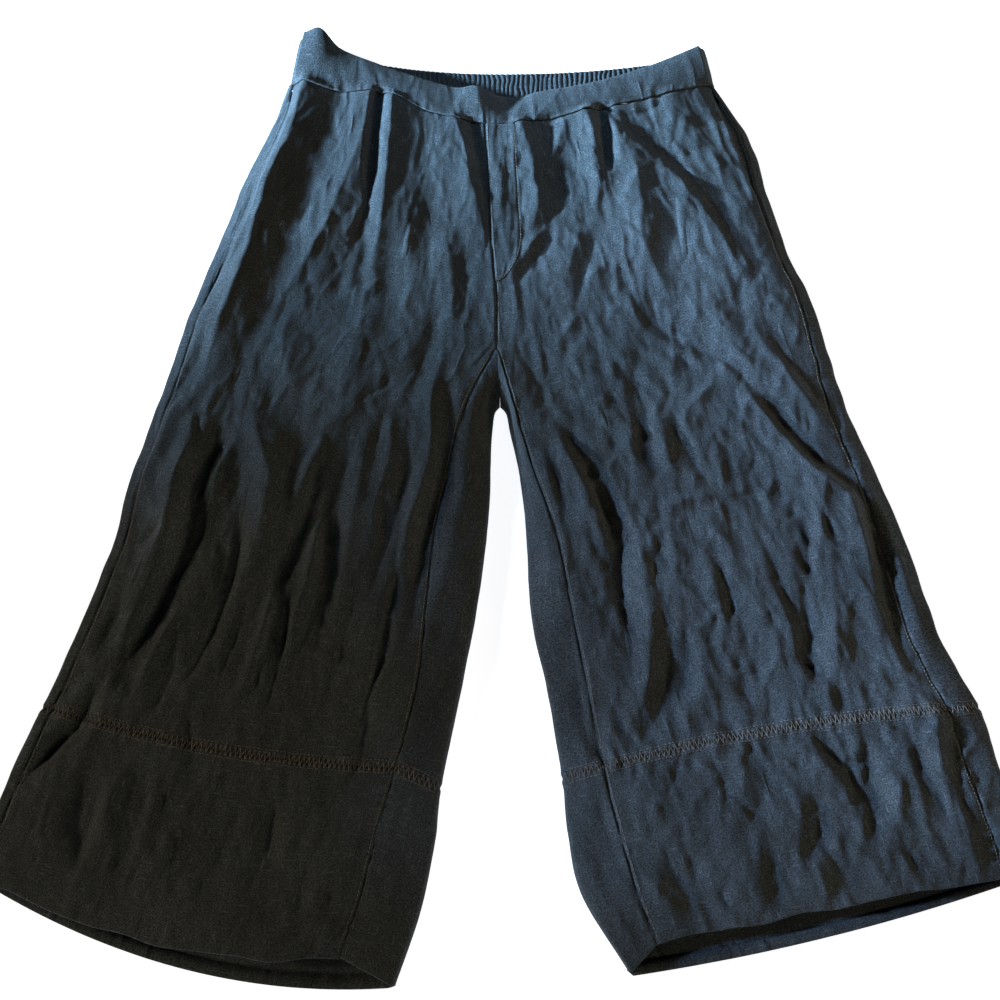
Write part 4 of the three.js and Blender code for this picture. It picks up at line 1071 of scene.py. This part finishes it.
def band_side(leg, rows, angles):
    """The front waistband's fold at one side, and its normals."""
    _, edge, inward = leg.row_ends(np.zeros(1))
    outward = -inward[0]
    at = mix(edge - np.array([[0, BAND_LAP + BAND_DIP]]), np.array([BAND_SIDE_TOP[leg.side]]), rows)
    radius = mix(ROLL, BAND_SIDE_ROLL, rows)
    cos, sin = np.cos(angles)[None, :], np.sin(angles)[None, :]
    reach = radius * (cos - 1)
    points = grid_of(at[:, :1] + outward[0] * reach, at[:, 1:] + outward[1] * reach, radius * (1 + sin))
    normals = grid_of(outward[0] * cos + 0 * rows, outward[1] * cos, sin)
    dents = 0.5 * lattice_noise(angles[None, :] * 6, rows * 45, 5, 14, SEED + 70 + leg.side)
    proud = band_swell(rows) - band_dip(rows) + 0.5 * (1 - smooth(rows / 0.2))
    return points + normals * (proud + dents)[..., None], normals


def waistband_front(name, material):
    """The faced front waistband, over the belly and round both sides."""
    rows = np.linspace(0, 1, BAND_ROWS)[:, None]
    places = np.linspace(-1, 1, BAND_COLUMNS)[None, :]
    low_right = front_points(RIGHT, np.zeros((1, 1)), np.clip(-places, 0, 1))
    low_left = front_points(LEFT, np.zeros((1, 1)), np.clip(places, 0, 1))
    low = np.where(places[..., None] < 0, low_right, low_left)
    even = evened(low[..., 2], BAND_EVEN_REACH)
    top_x, top_y, top_z = band_top(places)
    x = mix(low[..., 0], top_x, rows)
    y = mix(low[..., 1] - BAND_LAP, top_y, rows)
    low_z = mix(even, low[..., 2], bell(rows, BAND_CREASE_SHARE)) + 0.7
    z = mix(low_z, top_z, rows) + BAND_CROWN * rows * (1 - rows)
    puckers = lattice_noise(x, y, 4, 12, SEED + 75) * bell(rows - 0.06, 0.16)
    z = z + band_swell(rows) - band_dip(rows) + BAND_CRUMPLE * (crumple(x, y) + puckers)
    top = grid_of(x, y, z)
    angles = np.linspace(0, ROLL_END, ROLL_ANGLES)
    right, right_normals = band_side(RIGHT, rows, angles)
    left, left_normals = band_side(LEFT, rows, angles[::-1])
    points = np.concatenate([right, top, left], 1)
    normals = np.concatenate([right_normals, level_normals(top), left_normals], 1)
    points, normals = turned_under(points, normals, radius=1.3, depth=14)
    return shell(name, points, normals, BAND_CLOTH, material)


def elastic_low(x):
    """The seam between the back panels and their waistband, on the floor."""
    return mix(BACK_WAIST_Y, SIDE_WAIST_Y, side_share(x) ** 2) + 0.3


def waistband_back(name, material):
    """The elasticated back waistband: a casing gathered along its whole length."""
    left, right = RIGHT_ROWS[0][2] + ROLL + 2, BAND_SIDE_TOP[1][0] - ROLL - 2
    x = np.linspace(left, right, ELASTIC_SHELL["columns"])[None, :]
    side_x = np.where(x < 0, BAND_SIDE_TOP[-1][0], BAND_SIDE_TOP[1][0])
    side_y = np.where(x < 0, BAND_SIDE_TOP[-1][1], BAND_SIDE_TOP[1][1])
    radius = ELASTIC_HEIGHT / 2
    low = elastic_low(x)
    high = mix(ELASTIC_CENTRE_Y, side_y, np.abs(x / side_x) ** ELASTIC_CLIMB) - radius
    under = np.linspace(0, 1, ELASTIC_SHELL["under"])[:, None]
    over = np.linspace(1, 0, ELASTIC_SHELL["over"])[:, None]
    turn = np.linspace(-math.pi / 2, math.pi / 2, ELASTIC_SHELL["turn"])[1:-1, None]
    cos, sin = np.cos(turn), np.sin(turn)

    def ribs(v):
        wander = 1.5 * lattice_noise(x, v * ELASTIC_WIDTH, 12, 9, SEED + 80)
        phase = np.pi * (x + wander) / GATHER_PITCH
        size = 0.75 + 0.35 * lattice_noise(x, v * ELASTIC_WIDTH, 9, 30, SEED + 81)
        return size * (np.abs(np.sin(phase)) ** 0.7 - 0.55)

    scallop = SCALLOP * ribs(np.ones((1, 1)))
    stitched = sum(bell(over - row, 0.025) for row in CASING_ROWS)
    bottom = grid_of(x, mix(low, high, under), np.maximum(0, 0.5 * ribs(under)))
    edge = grid_of(x, high + radius * cos + scallop, radius * (1 + sin) + 0.5 * scallop)
    top_z = ELASTIC_HEIGHT + RIB_HEIGHT * ribs(over) * (1 - 0.55 * stitched) - 0.4 * stitched
    top = grid_of(x, mix(low, high, over) + 0.5 * scallop * over, top_z)
    points = np.concatenate([bottom, edge, top])
    normals = [level_normals(bottom, -1), grid_of(0 * x, cos, sin), level_normals(top)]
    return shell(name, points[:, ::-1], np.concatenate(normals)[:, ::-1], ELASTIC_CLOTH, material)


def waistband_sides(name, leg, material):
    """Where the back waistband rolls up off the floor to meet the front waistband at the side."""
    rows = np.linspace(0, 1, 24)[:, None]
    angles = np.linspace(math.radians(-4), -math.pi / 2, ROLL_ANGLES)[None, :]
    cos, sin = np.cos(angles), np.sin(angles)
    edge_x = leg.rows[0][2]
    top_x, top_y = BAND_SIDE_TOP[leg.side]
    x = mix(edge_x, top_x, rows) + leg.side * ROLL * (cos - 1)
    points = grid_of(x, mix(elastic_low(edge_x), top_y, rows), ROLL * (1 + sin))
    normals = grid_of(leg.side * cos + 0 * rows, 0, sin)
    flat = points[:, -1:] + np.array([-leg.side * BAND_SIDE_FLAT, 0, BAND_SIDE_LIFT])
    points = np.concatenate([flat, points[:, ::-1]], 1)
    normals = np.concatenate([normals[:, -1:], normals[:, ::-1]], 1)
    return leg_shell(leg, name, points, normals, SIDE_CLOTH, material)


def fly_width(stations):
    """Width of the fly: straight at first, then curving in to the centre front as a J."""
    t = np.clip((stations - FLY_STRAIGHT) / (FLY_END - FLY_STRAIGHT), 0, 1)
    return FLY_WIDTH * np.sqrt(np.maximum(0.02, 1 - t * t))


def mock_fly(name, material):
    """A J-shaped facing on the left front, beside the centre front seam."""
    stations = np.linspace(0.02, FLY_END, 90)[:, None]
    width = fly_width(stations)
    seam, edge, _ = LEFT.row_ends(stations)
    full = np.linalg.norm(edge - seam, axis=-1)
    places = np.linspace(0.004, 1, 20)[None, :]
    points = front_points(LEFT, stations, places * width / full)
    points[..., 2] += 0.15 + 0.65 * smooth((1 - places) * width / 1.6)
    return leg_shell(LEFT, name, points, level_normals(points), FLY_CLOTH, material)


def pocket_facing(leg, name, material):
    """The facing that shows between the pocket mouth and the side seam."""
    stations = np.linspace(1 / 3, POCKET_END[leg.side], 110)[:, None]
    _, edge, inward = leg.row_ends(stations)
    wrap = leg.at("wrap", stations) + SEAM_GAP / 2
    place = np.linspace(0, 1, 16)[None, :]
    distance = mix(wrap + leg.at("mouth", stations) + FACING_LAP, wrap, place)
    at = edge + inward * distance[..., None]
    x, y = at[..., 0], at[..., 1]
    base, share = top_base(leg, np.broadcast_to(stations, x.shape), x, y, distance)
    sunk = FACING_SINK * (1 - smooth((place - 0.8) / 0.2))
    points = grid_of(x, y, base + share * relief(x, y) - sunk - 0.5)
    return leg_shell(leg, name, points, level_normals(points), FACING_CLOTH, material)


# ---------------------------------------------------------------- stitching
STITCH = 2.7
STITCH_GAP = 0.7
THREAD = 0.32  # radius
LADDER_REACH = 5  # of the hem band's cover stitch, to each side of its seam
LADDER_PITCH = 2.2
LEG_AT_HEM_SEAM = 54  # millimetres from one station to the next, at the hem band's seam
LADDER_ENDS = (0.012, 0.988)  # shares of a piece's width
SEAM_INSET = {"leg": 2.2, "front": 1.8, "fly": 1.6}  # of a row of stitches from its seam or edge
SIDE_STITCHES_START = {-1: 3.8, 1: 2.8}  # stations, below the pockets
FLY_LIFT = np.array([0, 0, 0.75])  # puts the rows at the fly on top of it
SPINDLE = ((0.14, 0.1, 0.75), (0.5, 0.26, 1), (0.86, 0.1, 0.75))  # along, rise and thickness
SPINDLE_SIDES = 5
SPINDLE_SUNK = 0.1


def on_front(leg, station, distance, from_side=False):
    """Points on a front panel, a distance in from its inner seam or from its side seam."""
    seam, edge, _ = leg.row_ends(station)
    width = np.linalg.norm(seam - edge, axis=-1) - leg.at("wrap", station) - leg.at("mouth", station)
    across = distance / width
    return front_points(leg, station, 1 - across if from_side else across)


def stitches_along(line):
    """The start and end points of running stitches along a line of points."""
    along = lengths_along(line)
    starts = np.arange(STITCH_GAP, along[-1] - STITCH, STITCH + STITCH_GAP)

    def point(at):
        return np.stack([np.interp(at, along, line[:, axis]) for axis in range(3)], -1)

    return point(starts), point(starts + STITCH)


def ladder(place):
    """Cover stitch across the hem band's seam: place(share, offset) gives points on the cloth."""
    share = np.linspace(*LADDER_ENDS, 400)
    count = int(lengths_along(place(share, 0 * share))[-1] / LADDER_PITCH)
    rungs = np.linspace(*LADDER_ENDS, count)
    reach = LADDER_REACH / LEG_AT_HEM_SEAM
    lean = 0.5 * (rungs[1] - rungs[0]) * np.where(np.arange(count) % 2 == 0, 1, -1)
    rows = [stitches_along(place(share, 0 * share + side * reach)) for side in (-1, 1)]
    rows.append((place(rungs - lean, 0 * rungs - 0.9 * reach), place(rungs + lean, 0 * rungs + 0.9 * reach)))
    return rows


def threads(name, rows, material):
    """Stitches as one mesh, each a spindle that rises out of the cloth and goes back in."""
    starts = np.concatenate([row[0] for row in rows])
    ends = np.concatenate([row[1] for row in rows])
    run = ends - starts
    run /= np.linalg.norm(run, axis=-1, keepdims=True)
    side = np.cross(run, [0.0, 0.0, 1.0])
    side /= np.linalg.norm(side, axis=-1, keepdims=True)
    up = np.cross(side, run)
    sides = SPINDLE_SIDES
    corner = np.arange(sides)
    angles = (corner * 2 * math.pi / sides)[None, :, None]
    round_it = np.cos(angles) * side[:, None] + np.sin(angles) * up[:, None]
    rings = [(starts - SPINDLE_SUNK * up)[:, None]]
    for t, lift, size in SPINDLE:
        rings.append((mix(starts, ends, t) + lift * up)[:, None] + THREAD * size * round_it)
    rings.append((ends - SPINDLE_SUNK * up)[:, None])
    points = np.concatenate(rings, 1)
    after = (corner + 1) % sides
    last = 1 + 3 * sides
    faces = [np.stack([0 * corner, 1 + after, 1 + corner], -1)]
    for ring in (1, 1 + sides):
        faces.append(np.stack([ring + corner, ring + after, ring + sides + after], -1))
        faces.append(np.stack([ring + corner, ring + sides + after, ring + sides + corner], -1))
    faces.append(np.stack([last - sides + corner, last - sides + after, 0 * corner + last], -1))
    one = np.concatenate(faces)
    every = one[None] + (np.arange(len(starts)) * points.shape[1])[:, None, None]
    return make_mesh(name, points.reshape(-1, 3) * MM, every.reshape(-1, 3), material)


def leg_stitches(leg, name, material):
    """Topstitching of one leg: side seam, inseam and the hem band's cover stitch."""
    down = np.linspace(CROTCH + 0.15, HEM - 0.05, 900)
    side_down = np.linspace(SIDE_STITCHES_START[leg.side], HEM - 0.05, 1000)
    rows = [
        stitches_along(on_front(leg, down, SEAM_INSET["leg"])),
        stitches_along(on_front(leg, side_down, SEAM_INSET["leg"], from_side=True)),
    ]

    def across_front(share, offset):
        return front_points(leg, HEM_SEAM + offset, share)

    def across_side(share, offset):
        station = HEM_SEAM + offset
        return side_strip(leg, station, mix(leg.at("wrap", station) - 0.6, ROLL_IN + 0.5, share))

    def across_inner(share, offset):
        return inner_strip(leg, HEM_SEAM + offset, share[:, None])[:, 0]

    for place in (across_front, across_side, across_inner):
        rows += ladder(place)
    return threads(name, rows, material)


def waist_stitches(name, material):
    """The row along the mock fly's J and the row beside the centre front seam."""
    stations = np.linspace(0.05, CROTCH - 0.1, 500)
    fly = np.linspace(0.05, FLY_END - 0.004, 500)
    rows = [
        stitches_along(on_front(LEFT, stations, SEAM_INSET["front"]) + FLY_LIFT),
        stitches_along(on_front(LEFT, fly, fly_width(fly) - SEAM_INSET["fly"]) + FLY_LIFT),
    ]
    return threads(name, rows, material)


# ---------------------------------------------------------------- material
def new_material(name, settings):
    """A material with its shader's own sockets set; returns it, its shader and its node tree."""
    material = bpy.data.materials.new(name)
    material.use_nodes = True
    shader = material.node_tree.nodes["Principled BSDF"]
    set_inputs(shader, settings)
    return material, shader, material.node_tree


def set_inputs(node, settings):
    for socket, value in settings.items():
        node.inputs[socket].default_value = value


def linen_material(name, colour):
    """Dark washed linen: uneven yarns both ways, pale slubs, fine crumples and a soft sheen."""
    material, shader, tree = new_material(name, {
        "Roughness": 0.96,
        "Specular IOR Level": 0.05,
        "Sheen Weight": 0.06,
        "Sheen Roughness": 0.45,
        "Sheen Tint": (0.75, 0.86, 1.0, 1),
    })
    nodes, links = tree.nodes, tree.links
    uv = nodes.new("ShaderNodeUVMap")
    uv.uv_map = "cloth"

    def noise(scale_u, scale_v, detail, distortion=0.0, kind="FBM"):
        """Noise over the cloth; the scales are features per metre across and along it."""
        mapping = nodes.new("ShaderNodeMapping")
        mapping.inputs["Scale"].default_value = (scale_u, scale_v, 1)
        links.new(uv.outputs[0], mapping.inputs[0])
        texture = nodes.new("ShaderNodeTexNoise")
        texture.noise_dimensions = "2D"
        texture.noise_type = kind
        set_inputs(texture, {"Scale": 1, "Detail": detail, "Roughness": 0.6, "Distortion": distortion})
        links.new(mapping.outputs[0], texture.inputs[0])
        return texture.outputs["Fac"]

    def math_node(operation, a, b):
        node = nodes.new("ShaderNodeMath")
        node.operation = operation
        for socket, value in zip(node.inputs, (a, b)):
            if isinstance(value, (int, float)):
                socket.default_value = value
            else:
                links.new(value, socket)
        return node.outputs[0]

    def spread(value, low, high, to_low, to_high):
        """Stretches a value from one range to another and holds it there."""
        node = nodes.new("ShaderNodeMapRange")
        set_inputs(node, {"From Min": low, "From Max": high, "To Min": to_low, "To Max": to_high})
        links.new(value, node.inputs["Value"])
        return node.outputs[0]

    def bump(height, strength, distance, under=None):
        """Raises the surface by a height, on top of the bump that is given as under."""
        node = nodes.new("ShaderNodeBump")
        set_inputs(node, {"Strength": strength, "Distance": distance})
        links.new(height, node.inputs["Height"])
        if under is not None:
            links.new(under, node.inputs["Normal"])
        return node.outputs[0]

    warp, weft = noise(1300, 520, 2), noise(520, 1300, 2)
    yarns = math_node("ADD", math_node("MULTIPLY", warp, 0.5), math_node("MULTIPLY", weft, 0.5))
    slubs = spread(math_node("MAXIMUM", noise(620, 80, 1), noise(80, 620, 1)), 0.64, 0.85, 0, 1)
    patches = spread(noise(16, 9, 3), 0.35, 0.7, 0.86, 1.14)
    heather = spread(yarns, 0.4, 0.6, 0.45, 1.6)
    tone = math_node("MULTIPLY", math_node("ADD", heather, slubs), patches)
    tint = nodes.new("ShaderNodeVectorMath")
    tint.operation = "SCALE"
    tint.inputs[0].default_value = colour
    links.new(tone, tint.inputs["Scale"])
    links.new(tint.outputs[0], shader.inputs["Base Color"])

    crumples = noise(52, 26, 4, 0.5, "RIDGED_MULTIFRACTAL")
    lines = spread(noise(30, 7, 2, 0.8, "RIDGED_MULTIFRACTAL"), 0.5, 1.0, 0, 1)
    wrinkled = bump(crumples, 0.7, 0.0016)
    creased = bump(lines, 0.8, 0.003, wrinkled)
    links.new(bump(yarns, 0.6, 0.0004, creased), shader.inputs["Normal"])
    return material


def thread_material(name, colour):
    """Twisted sewing thread, a little paler than the cloth and uneven in tone."""
    material, shader, tree = new_material(name, {"Roughness": 0.7, "Specular IOR Level": 0.3})
    nodes, links = tree.nodes, tree.links
    place = nodes.new("ShaderNodeTexCoord")
    texture = nodes.new("ShaderNodeTexNoise")
    texture.inputs["Scale"].default_value = 260
    links.new(place.outputs["Object"], texture.inputs[0])
    ramp = nodes.new("ShaderNodeValToRGB")
    for stop, position, share in zip(ramp.color_ramp.elements, (0.35, 0.65), (0.6, 1.4)):
        stop.position = position
        stop.color = (*[channel * share for channel in colour], 1)
    links.new(texture.outputs["Fac"], ramp.inputs[0])
    links.new(ramp.outputs[0], shader.inputs["Base Color"])
    return material


# ---------------------------------------------------------------- stage
PALE_GLOW = {"Emission Color": (0.93, 0.96, 1, 1), "Emission Strength": 0.93}
FLOOR_SIZE = 12  # metres, as are the places and sizes below
FLOOR_Z = -0.0006
DOME_RADIUS = 9


def staged(name, material_name, settings):
    """Names the object just made and gives it a glowing material."""
    piece = bpy.context.object
    piece.name = name
    material, _, _ = new_material(material_name, {"Specular IOR Level": 0.0, **PALE_GLOW, **settings})
    piece.data.materials.append(material)
    return piece


def white_floor():
    bpy.ops.mesh.primitive_plane_add(size=FLOOR_SIZE, location=(0, 0, FLOOR_Z))
    staged("floor", "floor_white", {"Base Color": (0.9, 0.9, 0.9, 1), "Roughness": 0.9})


def pale_backdrop():
    """A pale dome behind the floor's edge. Only the camera sees it, so it lights nothing."""
    bpy.ops.mesh.primitive_uv_sphere_add(segments=64, ring_count=32, radius=DOME_RADIUS)
    dome = staged("backdrop", "backdrop_pale", {"Base Color": (0, 0, 0, 1)})
    dome.visible_diffuse = False
    dome.visible_glossy = False
    dome.visible_transmission = False
    dome.visible_shadow = False


COOL = (0.56, 0.80, 0.93)
MILD = (0.68, 0.84, 1.0)
WARM = (1.0, 0.70, 0.40)
Spot = namedtuple("Spot", "name location target radius power blend colour cone")
SPOTS = [
    Spot("window_low", (-6.4, 0.4, 1.4), (0.7, 0.68, 0), 0.22, 15000, 0.85, COOL, 11.4),
    Spot("window_high", (-1.25, 0.1, 0.62), (0.66, -0.2, 0), 0.08, 250, 1.0, MILD, 17),
    Spot("window_mid", (-1.25, 0.35, 0.62), (0.66, 0.08, 0), 0.08, 370, 1.0, MILD, 14),
    Spot("window_top", (-0.25, 1.3, 0.9), (0.03, 0.46, 0), 0.1, 22, 1.0, COOL, 22),
    Spot("window_hem", (-0.9, -0.3, 0.5), (0.35, -0.36, 0), 0.06, 68, 1.0, MILD, 17),
]
Fill = namedtuple("Fill", "name location target size power colour")
FILLS = [
    Fill("fill_front", (0.5, -1.8, 0.8), (0.2, -0.1, 0), 0.7, 7, WARM),
    Fill("fill_left", (-2.3, -0.35, 0.6), (-0.2, -0.15, 0), 0.3, 24, WARM),
    Fill("fill_right", (1.7, 0.6, 0.5), (0.3, 0.2, 0), 0.5, 11, WARM),
]


def place_light(row, kind):
    """A light of a kind at its row's place, aimed at its row's target."""
    data = bpy.data.lights.new(row.name, kind)
    data.energy = row.power
    data.color = row.colour
    light = bpy.data.objects.new(row.name, data)
    bpy.context.scene.collection.objects.link(light)
    light.location = row.location
    aim = Vector(row.target) - Vector(row.location)
    light.rotation_euler = aim.to_track_quat("-Z", "Y").to_euler()
    return data


def studio():
    """Cool window light from the left, low along the hips and higher over the +X leg, that
    leaves the lower left dark, and a warm fill from the room."""
    for row in SPOTS:
        data = place_light(row, "SPOT")
        data.shadow_soft_size = row.radius
        data.spot_size = math.radians(row.cone)
        data.spot_blend = row.blend
    for row in FILLS:
        data = place_light(row, "AREA")
        data.shape = "DISK"
        data.size = row.size
    world = bpy.data.worlds.new("world")
    world.use_nodes = True
    set_inputs(world.node_tree.nodes["Background"], {"Color": (0.92, 0.95, 1.0, 1), "Strength": 0.01})
    bpy.context.scene.world = world
    bpy.context.scene.view_settings.view_transform = "Standard"


CAMERA = {"tilt": math.radians(24), "distance": 1.5, "target_y": -0.046, "lens": 58.32, "sensor": 36}


def camera():
    data = bpy.data.cameras.new("camera")
    data.lens = CAMERA["lens"]
    data.sensor_width = CAMERA["sensor"]
    piece = bpy.data.objects.new("camera", data)
    bpy.context.scene.collection.objects.link(piece)
    tilt, distance = CAMERA["tilt"], CAMERA["distance"]
    piece.location = (0, CAMERA["target_y"] - distance * math.sin(tilt), distance * math.cos(tilt))
    piece.rotation_euler = (tilt, 0, 0)
    bpy.context.scene.camera = piece


# ---------------------------------------------------------------- the garment
LINEN = linen_material("linen", (0.045, 0.062, 0.085))
THREAD_COLOUR = thread_material("sewing_thread", (0.15, 0.16, 0.172))
Cut = namedtuple("Cut", "width length area rests_on")


def dress():
    """Makes every piece, hides the solid in model.glb that each stands for, and attaches them all to the
    root.
    """
    made = {
        "front_right": front_panel(RIGHT, "panel_front_right", LINEN),
        "front_left": front_panel(LEFT, "panel_front_left", LINEN),
        "back_right": back_panel(RIGHT, "panel_back_right", LINEN),
        "back_left": back_panel(LEFT, "panel_back_left", LINEN),
        "hem_band_right_front": hem_front(RIGHT, "hem_right_front", LINEN),
        "hem_band_left_front": hem_front(LEFT, "hem_left_front", LINEN),
        "hem_band_right_back": hem_back(RIGHT, "hem_right_back", LINEN),
        "hem_band_left_back": hem_back(LEFT, "hem_left_back", LINEN),
        "waistband_front": waistband_front("band_front", LINEN),
        "waistband_back": waistband_back("band_back", LINEN),
        "mock_fly": mock_fly("fly", LINEN),
        "pocket_facing_right": pocket_facing(RIGHT, "facing_right", LINEN),
        "pocket_facing_left": pocket_facing(LEFT, "facing_left", LINEN),
    }
    for node, piece in made.items():
        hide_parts(node)
    sides = [
        waistband_sides("band_side_right", RIGHT, LINEN),
        waistband_sides("band_side_left", LEFT, LINEN),
    ]
    sewn = [
        leg_stitches(RIGHT, "stitches_right", THREAD_COLOUR),
        leg_stitches(LEFT, "stitches_left", THREAD_COLOUR),
        waist_stitches("stitches_waist", THREAD_COLOUR),
    ]
    for piece in [*made.values(), *sides, *sewn]:
        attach(piece, "root")


white_floor()
pale_backdrop()
dress()
studio()
camera()

bpy.context.view_layer.update()
